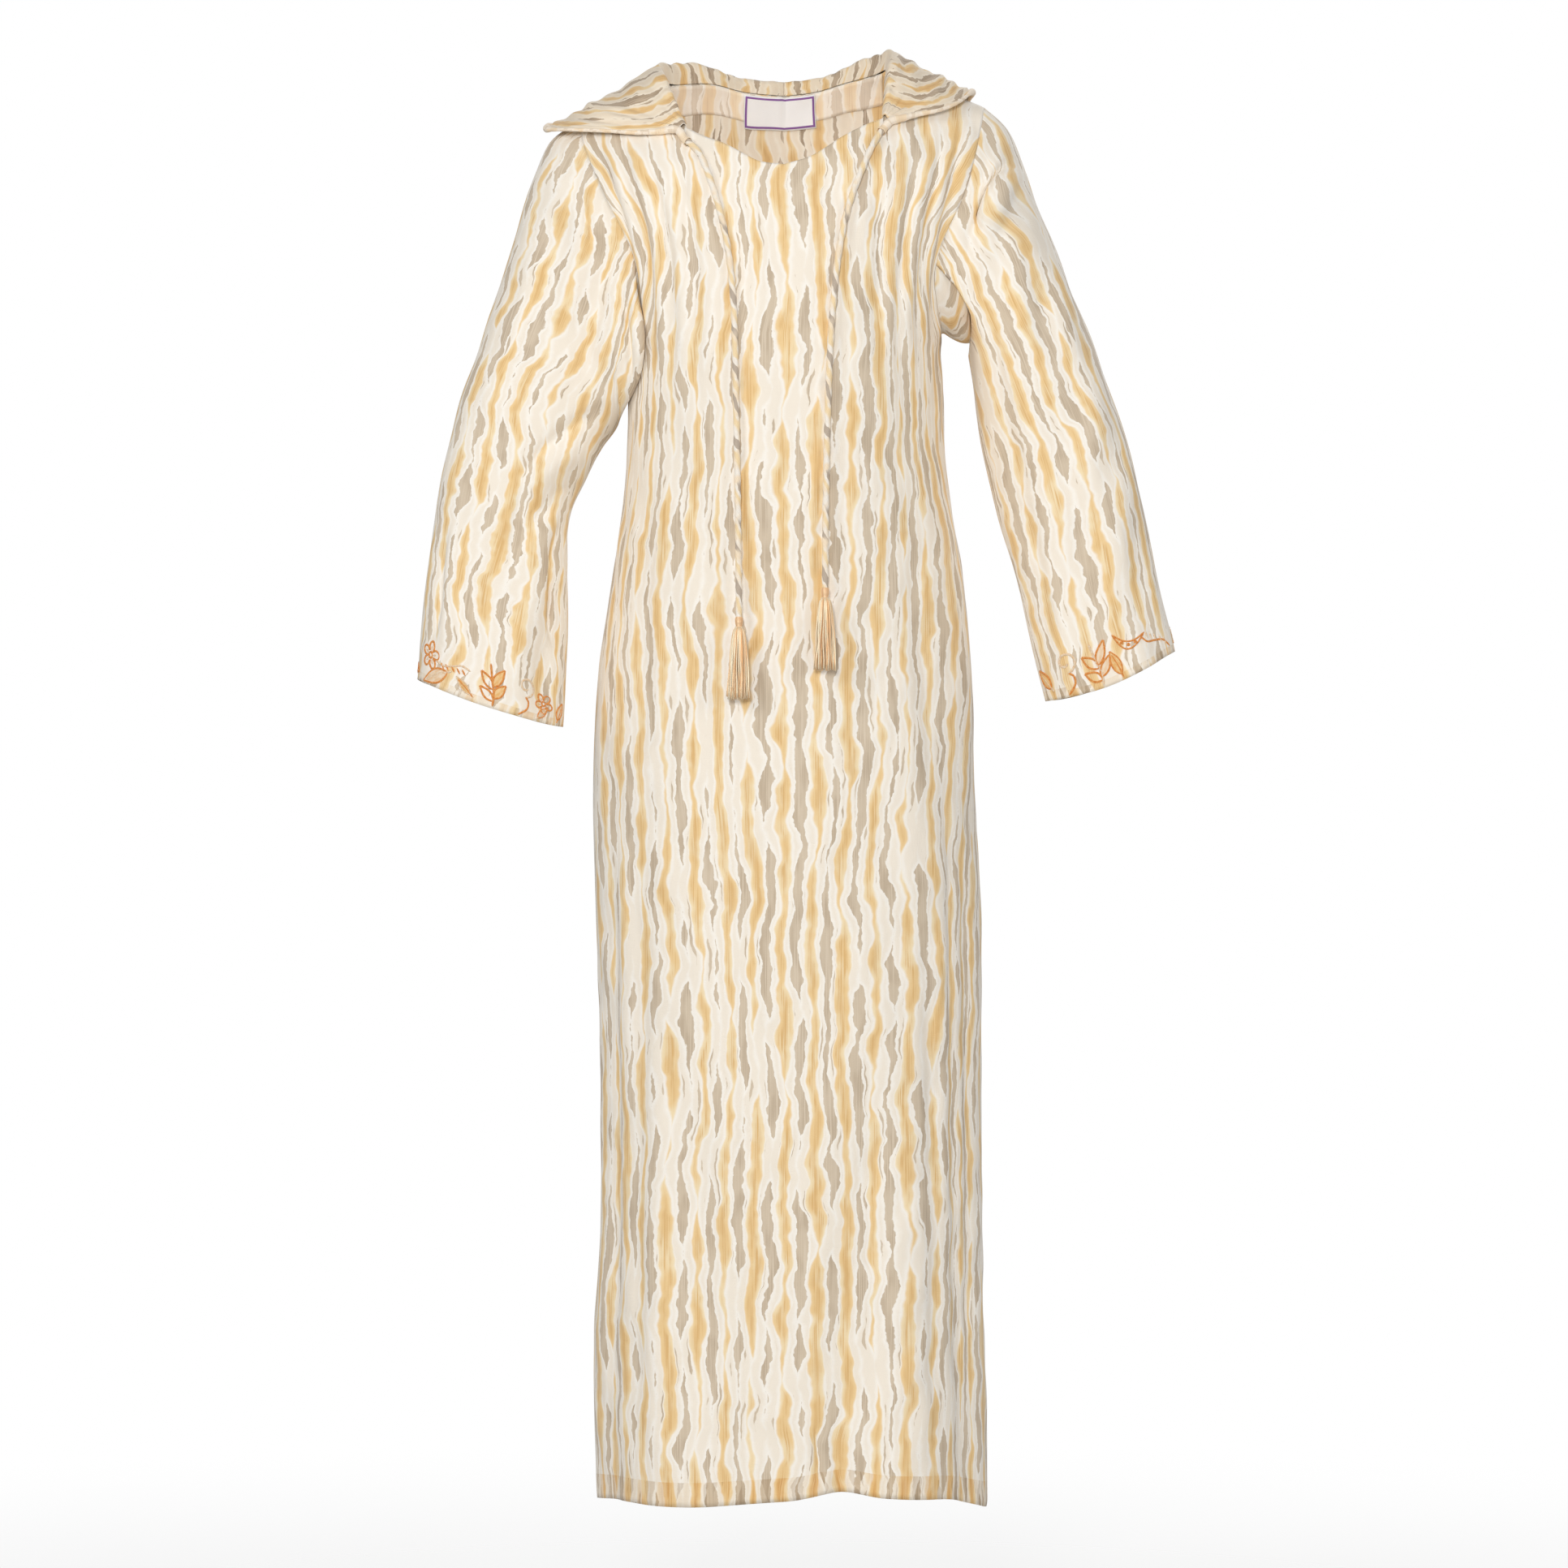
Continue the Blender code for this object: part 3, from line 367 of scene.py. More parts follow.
TASSEL_LENGTH = 0.078
TASSEL_HEAD = 0.0105
SKIRT_POWER = 0.47
TASSEL_SIDES = 28
TASSEL_SEEDS = {"left": 11, "right": 12}
TASSEL_COPPER = (1.00, 0.72, 0.44)
TASSEL_PALE = (1.00, 0.91, 0.68)
SILK_SHEEN = (1.0, 0.84, 0.60, 1.0)
STRAND_RADIUS = 0.00062
STRAND_RINGS = 12
STRAND_SIDES = 4
STRAND_TAPER = 0.7
STRAND_TONES = 0.37


def table_of(kind, *rows):
    """A table whose rows are named tuples of one kind."""
    return [kind(*row) for row in rows]


StrandRing = namedtuple("StrandRing", "count root tip")
STRANDS = table_of(
    StrandRing,
    (42, 0.0026, 0.0106),
    (32, 0.0022, 0.0084),
    (22, 0.0016, 0.0058),
    (14, 0.0010, 0.0030),
)
Turn = namedtuple("Turn", "radius drop")
TASSEL_PROFILE = table_of(
    Turn,
    (0.0004, 0.0000),
    (0.0026, 0.0004),
    (0.0034, 0.0016),
    (0.0036, 0.0036),
    (0.0035, 0.0058),
    (0.0031, 0.0078),
    (0.0029, 0.0092),
    (0.0032, 0.0106),
    (0.0036, 0.0130),
    (0.0034, 0.0160),
    (0.0010, 0.0180),
)
BINDING_TO = 0.0098
HEAD_TONES = 0.4
THREAD_TURN = 0.0014


def silk(name, dark, light, stripes):
    """Silk thread: a soft gloss, and a tone of its own for each strand, from the piece's UV map."""
    made, shader = finish(name, 0.40, 1.0)
    shader.inputs["Sheen Tint"].default_value = SILK_SHEEN
    shader.inputs["Specular IOR Level"].default_value = 0.6
    shader.inputs["Metallic"].default_value = 0.25
    across, along = cloth_place(made)
    tone = patches(across, along, stripes, 14.0, 2.0)
    twist = calc("SINE", along * (2 * math.pi / 0.0012))
    paint(shader, tint(soft_step(tone, 0.36, 0.66), dark, light), bump(twist, 0.0001, 0.4))
    return made


def tassel_head(top):
    """A profile turned round the tassel's axis, its surface wound with fine thread: rings on the radius."""
    drops = np.linspace(0, TASSEL_PROFILE[-1].drop, 64)
    radius = smooth(drops, [turn.drop for turn in TASSEL_PROFILE], [turn.radius for turn in TASSEL_PROFILE])
    wound = 0.00018 * np.abs(np.sin(drops * math.pi / THREAD_TURN))
    radius = np.maximum(radius + wound, 0.0002)
    turn = round_steps(TASSEL_SIDES)
    down = np.broadcast_to(-drops[:, None], (len(drops), TASSEL_SIDES))
    return np.stack([np.outer(radius, np.cos(turn)), np.outer(radius, np.sin(turn)), down], -1) + top, drops


def tassel_skirt(top, chance):
    """Centre lines of the strands: rooted in the head, spread and a little wavy, bundled by a slow drift."""
    lines = []
    down = np.linspace(0, 1, STRAND_RINGS)
    for ring in STRANDS:
        turn = (np.arange(ring.count) + chance.uniform(-0.3, 0.3, ring.count)) * 2 * math.pi / ring.count
        wide = mix(1.0, chance.uniform(0.86, 1.08, ring.count)[:, None], down)
        spread = mix(ring.root, ring.tip, down[None, :] ** SKIRT_POWER) * wide
        bunch = turn[:, None] + 0.17 * np.sin(7 * turn)[:, None] * down[None, :] ** 0.5
        wave = 0.0007 * np.sin(down[None, :] * chance.uniform(5, 11, ring.count)[:, None] + turn[:, None] * 7)
        ends = TASSEL_LENGTH - chance.uniform(0.0, 0.0045, ring.count)
        x = spread * np.cos(bunch) + wave * down
        y = spread * np.sin(bunch) * mix(1.0, 0.62, down) - 0.0035 * down
        z = -mix(TASSEL_HEAD - 0.001, ends[:, None], down[None, :] ** 1.15)
        lines.append(np.stack([x, y, z], -1))
    return np.concatenate(lines) + top


def strands_piece(name, lines, finishes, radius, sides):
    """Thin tubes along many lines at once: sides points round each line's point, thinner towards its end."""
    count, rows = lines.shape[:2]
    forward = unit(np.gradient(lines, axis=1))
    side = unit(np.cross(forward, np.array([0.0, 1.0, 0.0])))
    up = np.cross(side, forward)
    turn = round_steps(sides)
    taper = np.linspace(1.0, STRAND_TAPER, rows)[None, :, None, None]
    ring = np.cos(turn)[:, None] * side[:, :, None] + np.sin(turn)[:, None] * up[:, :, None]
    points = lines[:, :, None] + ring * radius * taper
    place = np.arange(count * rows * sides).reshape(count, rows, sides)
    after = np.roll(place, -1, axis=2)
    faces = np.stack([place[:, :-1], place[:, 1:], after[:, 1:], after[:, :-1]], -1).reshape(-1, 4)
    caps = np.concatenate([place[:, 0], place[:, -1, ::-1]])
    mesh = bpy.data.meshes.new(name)
    mesh.from_pydata(points.reshape(-1, 3), [], faces.tolist() + caps.tolist())
    steps = np.linalg.norm(np.diff(lines, axis=1), axis=-1)
    along = np.concatenate([np.zeros((count, 1)), np.cumsum(steps, axis=1)], 1)
    u = np.broadcast_to(np.arange(count)[:, None, None] * STRAND_TONES, place.shape).ravel()
    v = np.broadcast_to(along[:, :, None], place.shape).ravel()
    corner = np.empty(len(mesh.loops), np.int32)
    mesh.loops.foreach_get("vertex_index", corner)
    put_map(mesh, np.stack([u[corner], v[corner]], -1))
    return placed(name, mesh, finishes)


copper_silk = silk("copper_silk", (0.72, 0.34, 0.13), TASSEL_COPPER, 6.0)
peach_silk = silk("peach_silk", (0.94, 0.55, 0.25), TASSEL_PALE, 1.6)
for side_name in SIDES:
    tassel_top = np.array(CORDS[side_name][-1]) + np.array([0.0, -0.0015, 0.0003])
    head_points, head_drops = tassel_head(tassel_top)
    head_u, head_v = np.broadcast_arrays(np.linspace(0, HEAD_TONES, TASSEL_SIDES + 1), head_drops[:, None])
    head_kinds = np.repeat(np.where(head_drops[:-1] < BINDING_TO, 0, 1), TASSEL_SIDES)
    head = grid_piece(
        f"tassel_head_{side_name}",
        head_points,
        [copper_silk, peach_silk],
        head_u,
        head_v,
        True,
        True,
        head_kinds,
    )
    close_ends(head, len(head_drops), TASSEL_SIDES, True)
    skirt_lines = tassel_skirt(tassel_top, np.random.default_rng(TASSEL_SEEDS[side_name]))
    skirt_name = f"tassel_strands_{side_name}"
    skirt = strands_piece(skirt_name, skirt_lines, [peach_silk], STRAND_RADIUS, STRAND_SIDES)
    for piece in (head, skirt):
        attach(piece, "root")
    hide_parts(f"tassel_{side_name}")
    cord, cord_path, cord_reach = cord_pieces[side_name]

# Front panel: one length of printed voile on the straight grain, from the shoulder seams and the shallow
# rounded V of the neck to a turned hem. It hangs from the shoulders in a few broad folds.

Section = namedtuple("Section", "drop left right front back")
BODY = table_of(
    Section,
    (-0.060, 0.262, 0.262, 0.052, 0.070),
    (0.000, 0.245, 0.245, 0.068, 0.088),
    (0.030, 0.230, 0.228, 0.077, 0.097),
    (0.065, 0.212, 0.210, 0.095, 0.105),
    (0.110, 0.192, 0.190, 0.110, 0.113),
    (0.165, 0.170, 0.170, 0.120, 0.118),
    (0.225, 0.1495, 0.1495, 0.128, 0.117),
    (0.280, 0.1480, 0.1515, 0.130, 0.113),
    (0.330, 0.1487, 0.1527, 0.129, 0.109),
    (0.390, 0.154, 0.160, 0.127, 0.105),
    (0.450, 0.163, 0.170, 0.124, 0.104),
    (0.540, 0.176, 0.178, 0.122, 0.108),
    (0.640, 0.181, 0.180, 0.122, 0.116),
    (0.750, 0.179, 0.186, 0.122, 0.118),
    (0.900, 0.174, 0.187, 0.122, 0.114),
    (1.060, 0.174, 0.188, 0.122, 0.110),
    (1.170, 0.180, 0.189, 0.122, 0.108),
    (1.240, 0.180, 0.192, 0.123, 0.108),
    (1.330, 0.176, 0.193, 0.124, 0.109),
)
SQUARENESS = 2.2
UNDERARM_DROP = 0.225
TwoSides = namedtuple("TwoSides", "at left right")
SHOULDER = table_of(
    TwoSides,
    (0.000, 0.062, 0.068),
    (0.060, 0.044, 0.050),
    (0.100, 0.0265, 0.032),
    (0.125, 0.0150, 0.021),
    (0.150, 0.0050, 0.013),
    (0.175, -0.0040, 0.005),
    (0.195, -0.0130, -0.004),
    (0.2175, -0.0260, -0.019),
    (0.235, -0.0500, -0.044),
)
SHOULDER_Y = 0.006
ROUND_FRONT = 0.100
ROUND_BACK = 0.090
NECK_ACROSS = {"left": 0.113, "right": 0.0965}
CORNER_ACROSS = {"left": 0.0915, "right": 0.0925}
TIP_ACROSS = {"left": 0.195, "right": 0.190}
FRONT_NECK = table_of(
    TwoSides,
    (0.00, 0.0647, 0.0647),
    (0.25, 0.0617, 0.0575),
    (0.40, 0.0548, 0.0495),
    (0.60, 0.0443, 0.0365),
    (0.84, 0.0355, 0.0245),
    (1.00, 0.0275, 0.0185),
)
BACK_NECK = table_of(
    TwoSides,
    (0.00, 0.0164, 0.0164),
    (0.33, 0.0190, 0.0200),
    (0.62, 0.0250, 0.0270),
    (1.00, 0.0205, 0.0335),
)
ARMHOLE = table_of(
    TwoSides,
    (0.00, 0.1495, 0.1495),
    (0.12, 0.1430, 0.1465),
    (0.28, 0.1400, 0.1460),
    (0.45, 0.1510, 0.1560),
    (0.65, 0.1700, 0.1720),
    (0.85, 0.1875, 0.1840),
    (1.00, 0.1950, 0.1900),
)
CORNER_U = 0.34
NECK_U = 0.46
NECK_COLUMNS = 26
CORNER_COLUMNS = 12
SHOULDER_COLUMNS = 44
YOKE_ROWS = 80
GUSSET_ROWS = 24
BODY_ROWS = 190
Hem = namedtuple("Hem", "place front back")
HEM = table_of(
    Hem,
    (-1.00, 1.320, 1.320),
    (-0.70, 1.316, 1.318),
    (-0.30, 1.317, 1.316),
    (0.00, 1.311, 1.317),
    (0.16, 1.303, 1.318),
    (0.30, 1.309, 1.316),
    (0.60, 1.314, 1.315),
    (0.92, 1.327, 1.318),
    (1.00, 1.321, 1.321),
)
HEM_ONLY = 6
HEM_TURN = 0.024
Fold = namedtuple("Fold", "place half_width depth begins")
FRONT_FOLDS = table_of(
    Fold,
    (-0.72, 0.20, -0.006, 0.45),
    (-0.42, 0.22, 0.007, 0.60),
    (-0.10, 0.20, -0.006, 0.75),
    (0.17, 0.13, -0.010, 0.95),
    (0.42, 0.22, 0.008, 0.55),
    (0.70, 0.16, -0.007, 0.50),
)
BACK_FOLDS = table_of(
    Fold,
    (-0.70, 0.20, -0.008, 0.50),
    (-0.38, 0.22, 0.009, 0.40),
    (-0.05, 0.20, -0.009, 0.45),
    (0.28, 0.22, 0.009, 0.40),
    (0.62, 0.20, -0.008, 0.50),
)
FOLD_ROUND = 0.55
FOLD_GROWTH = 1.3
VOILE = 0.0008

Crease = namedtuple("Crease", "width depth lip line")


def creases_of(*rows):
    """Creases, one by one: half width, depth, share of the lip beside it, and the line's (x, z) from the
    front.

    All but the share are in millimetres, and a negative depth is a trough.
    """
    return [
        Crease(width / 1000, depth / 1000, lip, np.array(line) / 1000)
        for width, depth, lip, *line in rows
    ]


FRONT_CREASES = creases_of(
    (6.0, -6.2, 0.60, (-178, -30), (-160, -85), (-145, -135), (-136, -190), (-133, -250)),
    (5.5, -5.4, 0.60, (-160, -20), (-143, -75), (-128, -130), (-121, -190), (-122, -270)),
    (6.5, -4.6, 0.50, (-135, -30), (-121, -80), (-108, -140), (-104, -210), (-108, -300)),
    (9.0, -3.6, 0.45, (-98, -60), (-88, -120), (-83, -190), (-86, -270)),
    (5.0, -5.8, 0.60, (170, -15), (160, -70), (150, -125), (142, -180), (139, -245)),
    (5.0, -5.2, 0.60, (152, -20), (142, -80), (132, -140), (126, -200), (126, -270)),
    (6.0, -4.6, 0.55, (126, -40), (119, -95), (112, -150), (109, -215), (111, -290)),
    (9.0, -3.6, 0.45, (90, -70), (90, -130), (90, -200), (94, -270)),
    (15.0, -2.6, 0.30, (-10, -110), (-4, -200), (4, -300), (6, -380)),
    (12.0, 2.2, 0.30, (40, -100), (22, -160), (12, -230), (12, -290)),
    (10.0, -3.0, 0.40, (-132, -330), (-128, -430), (-130, -540), (-136, -640)),
    (12.0, 2.6, 0.30, (-95, -350), (-88, -450), (-90, -560), (-98, -700)),
    (11.0, -3.0, 0.40, (118, -340), (124, -440), (132, -550), (140, -660)),
    (5.5, -4.6, 0.60, (150, -600), (157, -760), (160, -950), (162, -1140), (165, -1312)),
    (5.0, -4.8, 0.60, (166, -640), (172, -800), (174, -980), (175, -1150), (177, -1314)),
    (8.0, -3.8, 0.50, (132, -720), (138, -900), (141, -1080), (143, -1312)),
    (6.0, -3.6, 0.50, (-160, -620), (-158, -800), (-157, -1000), (-160, -1310)),
    (9.0, -3.0, 0.45, (-136, -700), (-134, -880), (-134, -1060), (-138, -1312)),
    (3.4, -4.6, 0.70, (30, -1240), (33, -1270), (35, -1302)),
    (13.0, 3.0, 0.35, (-60, -820), (-55, -960), (-50, -1100), (-46, -1312)),
    (13.0, -2.6, 0.35, (78, -860), (80, -1000), (84, -1150), (86, -1312)),
)
CREASE_STEPS = 20
EDGE_FADE = 0.014
SOFT_WAVES = 16
FRONT_SEED = 21
# Swells: how many to the metre across and along, and how high.
BROAD_SWELLS = (14.0, 2.6, 0.0011)
FINE_SWELLS = (30.0, 16.0, 0.00045)
TAKE_UP = 1.3
TAKE_REACH = 0.060

# Where small pleats take cloth up, the print runs closer: at x, over a half width, so much more cloth, from
# top to bottom as drops below the shoulder.
Gather = namedtuple("Gather", "x half extra top bottom")
GATHER_FADE = 0.11
YOKE_EASE = 1.05
FRONT_GATHERS = table_of(
    Gather,
    (-0.124, 0.020, 0.026, 0.06, 0.40),
    (0.130, 0.018, 0.032, 0.06, 0.42),
    (0.168, 0.013, 0.030, 0.56, 1.60),
    (-0.156, 0.013, 0.014, 0.56, 1.60),
    (-0.040, 0.020, 0.008, 0.60, 1.60),
)


def column(table, name, at):
    """One named column of a table, read smoothly at any place along its first column."""
    return smooth(at, [row[0] for row in table], [getattr(row, name) for row in table])


def sided(table, x, at):
    """The left column where x is negative and the right one elsewhere."""
    return np.where(x < 0, column(table, "left", at), column(table, "right", at))


def shoulder_height(x):
    return sided(SHOULDER, x, np.abs(x))


def body_y(x, z, face):
    """Depth of the dress at (x, z): a squared ellipse at each height, rounded over to the shoulder line."""
    drop = -z
    half = sided(BODY, x, drop)
    depth = column(BODY, "front" if face < 0 else "back", drop)
    flat = depth * (1 - np.clip(np.abs(x) / half, 0, 1) ** SQUARENESS) ** (1 / SQUARENESS)
    below = (shoulder_height(x) - z) / (ROUND_FRONT if face < 0 else ROUND_BACK)
    turn = np.sqrt(1 - (1 - np.clip(below, 0, 1)) ** 2)
    return SHOULDER_Y + (face * flat - SHOULDER_Y) * turn


def widest(u):
    """How far across a column u lies, from -1 to 1: even steps round the squared ellipse."""
    return np.sign(u) * np.abs(np.sin(u * math.pi / 2)) ** (2 / SQUARENESS)


def by_side(values, u):
    return np.where(u < 0, -values["left"], values["right"])


def top_edge(u, face):
    """(x, z) of a panel's top edge at column u: the neckline, then the shoulder seam."""
    u = np.asarray(u, float)
    across = np.abs(u)
    neck = by_side(NECK_ACROSS, u)
    tip = by_side(TIP_ACROSS, u)
    on_shoulder = mix(neck, tip, np.clip((across - NECK_U) / (1 - NECK_U), 0, 1))
    if face > 0:
        part = np.clip(across / NECK_U, 0, 1)
        x = np.where(across > NECK_U, on_shoulder, neck * part)
        neck_z = sided(BACK_NECK, u, part) + (shoulder_height(neck) - sided(BACK_NECK, u, 1.0)) * part**4
        return x, np.where(across >= NECK_U, shoulder_height(x), neck_z)
    corner = by_side(CORNER_ACROSS, u)
    part = np.clip(across / CORNER_U, 0, 1)
    rise = np.clip((across - CORNER_U) / (NECK_U - CORNER_U), 0, 1)
    corner_z = -sided(FRONT_NECK, u, 1.0)
    x = np.where(across <= CORNER_U, corner * part, mix(corner, neck, rise))
    z = np.where(across <= CORNER_U, -sided(FRONT_NECK, u, part), mix(corner_z, shoulder_height(neck), rise))
    x = np.where(across > NECK_U, on_shoulder, x)
    return x, np.where(across > NECK_U, shoulder_height(x), z)


def armhole(side, up):
    """(x, z) of the armhole seam, from the underarm at up = 0 to the shoulder tip at up = 1."""
    x = SIDES[side] * column(ARMHOLE, side, up)
    tip_z = shoulder_height(SIDES[side] * TIP_ACROSS[side])
    return x, mix(-UNDERARM_DROP, tip_z, up)


def folds(u, drop, table):
    """How far the folds stand out at column u: rounded ridges and troughs that grow down to the hem."""
    out = np.zeros(np.broadcast(u, drop).shape)
    for fold in table:
        shape = np.exp(-(((u - fold.place) / (fold.half_width * FOLD_ROUND)) ** 2))
        grow = np.clip((drop - fold.begins) / (HEM[0].front - fold.begins), 0, 1)
        out = out + fold.depth * shape * grow**FOLD_GROWTH
    return out * (1 - u**8)


def panel(u, up, down, face):
    """A panel's points: up runs from the underarm, 0, to the top edge, 1, and down from there to the hem."""
    u, up, down = np.broadcast_arrays(np.asarray(u, float), up, down)
    share = widest(u)
    half = sided(BODY, u, UNDERARM_DROP)
    low_x = half * share
    low_z = np.full_like(low_x, -UNDERARM_DROP)
    top_x, top_z = top_edge(u, face)
    left_x, left_z = armhole("left", up)
    right_x, right_z = armhole("right", up)
    left_tip, right_tip = -TIP_ACROSS["left"], TIP_ACROSS["right"]
    left_low, right_low = sided(BODY, np.array([-1.0, 1.0]), UNDERARM_DROP) * np.array([-1.0, 1.0])
    w = (share + 1) / 2
    corner_x = mix(mix(left_low, right_low, w), mix(left_tip, right_tip, w), up)
    tip_z = mix(shoulder_height(left_tip), shoulder_height(right_tip), w)
    corner_z = mix(-UNDERARM_DROP, tip_z, up)
    x = mix(low_x, top_x, up) + mix(left_x, right_x, w) - corner_x
    z = mix(low_z, top_z, up) + mix(left_z, right_z, w) - corner_z
    y = body_y(x, z, face)
    hem_drop = column(HEM, "front" if face < 0 else "back", u)
    drop = mix(UNDERARM_DROP, HEM[0].front, down) + (hem_drop - HEM[0].front) * down**HEM_ONLY
    half = sided(BODY, u, drop)
    depth = column(BODY, "front" if face < 0 else "back", drop)
    round_x = np.sin(u * math.pi / 2)
    round_y = face * np.cos(u * math.pi / 2)
    out = folds(u, drop, FRONT_FOLDS if face < 0 else BACK_FOLDS)
    body_x = half * share + out * round_x
    body_depth = face * depth * np.abs(round_y) ** (2 / SQUARENESS) + out * round_y
    yoke = np.stack([x, y, z], axis=-1)
    body = np.stack([body_x, body_depth, -drop], axis=-1)
    return np.where((down <= 0)[..., None], yoke, body)


def panel_rows():
    """(up, down) of each row, from the top edge to the hem."""
    up = np.concatenate([np.linspace(1, 0, YOKE_ROWS + 1), np.zeros(BODY_ROWS)])
    down = np.concatenate([np.zeros(YOKE_ROWS + 1), np.linspace(0, 1, BODY_ROWS + 1)[1:]])
    return up[:, None], down[:, None]


def panel_columns():
    """Column places from the left side to the right one, with one at each neck corner and shoulder neck."""
    neck = np.linspace(0, CORNER_U, NECK_COLUMNS + 1)
    corner = np.linspace(CORNER_U, NECK_U, CORNER_COLUMNS + 1)[1:]
    half = np.concatenate([neck, corner, np.linspace(NECK_U, 1, SHOULDER_COLUMNS + 1)[1:]])
    return np.concatenate([-half[::-1], half[1:]])


def normals(points, around, flip):
    """Unit directions off a grid's right side, from the steps along its rows and columns."""
    down = np.gradient(points, axis=0)
    if around:
        across = (np.roll(points, -1, axis=1) - np.roll(points, 1, axis=1)) / 2
    else:
        across = np.gradient(points, axis=1)
    return unit(np.cross(down, across) * (-1 if flip else 1))


def crease_relief(points, table):
    """Height of the hand-laid creases, how far their lips lean over them, and the cloth that they take up.

    Height of the listed creases, how far their lips lean over them, and the cloth that they take up.
    taken to its nearest straight piece, in the front view. A trough of depth d and half width w takes up
    1.3 d d / w of cloth, half on each side. Leaning and taking up are (x, z) steps square to the line.
    """
    place = points[..., [0, 2]].reshape(-1, 1, 2)
    height = np.zeros(len(place))
    lean = np.zeros((len(place), 2))
    taken = np.zeros((len(place), 2))
    for crease in table:
        line = through(crease.line, CREASE_STEPS)
        step = np.diff(line, axis=0)
        part = ((place - line[:-1]) * step).sum(-1) / (step**2).sum(-1)
        foot = line[:-1] + np.clip(part, 0, 1)[..., None] * step
        away = place - foot
        distance = np.sqrt((away**2).sum(-1))
        nearest = distance.argmin(1)
        pick = np.arange(len(place))
        near = distance[pick, nearest]
        turned = step[nearest, 0] * away[pick, nearest, 1] - step[nearest, 1] * away[pick, nearest, 0]
        signed = np.where(turned < 0, -near, near) / crease.width
        along = (nearest + np.clip(part[pick, nearest], 0, 1)) / len(step)
        fade = ease(along, -0.02, 0.3) * ease(-along, -1.02, -0.7)
        trough = np.exp(-(signed**2)) - crease.lip * np.exp(-(((signed - 1.9) / 1.5) ** 2))
        height += crease.depth * trough * fade
        square = unit(np.stack([-step[nearest, 1], step[nearest, 0]], -1))
        leaning = crease.lip * max(-crease.depth, 0.0) * np.exp(-(((signed - 1.2) / 1.2) ** 2)) * fade
        lean -= square * leaning[:, None]
        kept_near = ease(-near, -TAKE_REACH, -TAKE_REACH / 4) * fade
        take_up = TAKE_UP * crease.depth**2 / crease.width * np.tanh(signed) / 2 * kept_near
        taken += square * take_up[:, None]
    shape = points.shape[:-1]
    return height.reshape(shape), lean.reshape(*shape, 2), taken.reshape(*shape, 2)


def soft_relief(across, along, seed, per_across, per_along, size):
    """Small uneven swells of hung cloth: plane waves of random direction and phase, added up."""
    chance = np.random.default_rng(seed)
    height = np.zeros(np.broadcast(across, along).shape)
    for _ in range(SOFT_WAVES):
        turn = chance.uniform(0.4, 1.0, 2)
        phase = chance.uniform(0, 2 * math.pi)
        sign = chance.choice([-1, 1])
        waves = across * per_across * turn[0] + sign * along * per_along * turn[1]
        height = height + np.sin(2 * math.pi * waves + phase)
    return height * size / math.sqrt(SOFT_WAVES)


def fade_from(points):
    """1 in the cloth, falling to 0 at the side seams below the underarm and at the top edge."""
    hem = reach_along(points[-1])
    side = ease(np.minimum(hem, hem[-1] - hem), 0.0, EDGE_FADE)
    top = ease(reach_along(points[:, points.shape[1] // 2]), 0.0, EDGE_FADE)[:, None]
    below = np.arange(len(points))[:, None] >= YOKE_ROWS - 6
    return np.where(below, side, 1.0) * top


def cut_place(points):
    """(across, along) of each point on the flat cut: along the row from the middle, and down the middle."""
    middle = points.shape[1] // 2
    steps = np.linalg.norm(np.diff(points, axis=1), axis=-1)
    reach = np.concatenate([np.zeros((len(points), 1)), np.cumsum(steps, axis=1)], 1)
    across = reach - reach[:, middle : middle + 1]
    along = reach_along(points[:, middle])[:, None]
    level = points[:, middle, 2][:, None] - points[..., 2]
    return across, along + np.clip(level, -0.2, 0.2)


def print_across(points, across, up):
    """Across on the cut above the underarm: from the top edge's x down to the underarm row's own."""
    return np.where(up > 0, mix(across[YOKE_ROWS], points[0, :, 0] * YOKE_EASE, up), across)


def drawn_in(points, table):
    """How much more cloth lies between each point and the middle: a soft step across each gather."""
    drop = -points[..., 2]
    more = np.zeros(drop.shape)
    for gather in table:
        side = math.copysign(1.0, gather.x)
        reach = ease(drop, gather.top, gather.top + GATHER_FADE)
        reach = reach * ease(-drop, -gather.bottom, -gather.bottom + GATHER_FADE)
        beyond = 1 + np.tanh(side * (points[..., 0] - gather.x) / gather.half)
        more += side * gather.extra / 2 * beyond * reach
    return more


# The print's dyes, each a linear colour: the right side of the cloth, and its greyer wrong side, made darker
# still as painted shade for the dress's shaded inside.
Tones = namedtuple("Tones", "cream pale honey amber core taupe dark light")
RIGHT_TONES = Tones(
    (0.915, 0.830, 0.708),
    (0.968, 0.916, 0.832),
    (0.920, 0.745, 0.470),
    (0.880, 0.630, 0.320),
    (0.745, 0.475, 0.200),
    (0.660, 0.545, 0.405),
    (0.560, 0.450, 0.325),
    (0.715, 0.600, 0.460),
)
SHADED_WRONG_TONES = Tones(
    (0.850, 0.755, 0.625),
    (0.900, 0.830, 0.720),
    (0.860, 0.680, 0.410),
    (0.800, 0.560, 0.280),
    (0.680, 0.430, 0.190),
    (0.500, 0.400, 0.300),
    (0.380, 0.295, 0.215),
    (0.620, 0.520, 0.410),
)
HOOD_WARMTH = np.array([0.99, 0.945, 0.875])
PRINT_PITCH = 0.0146


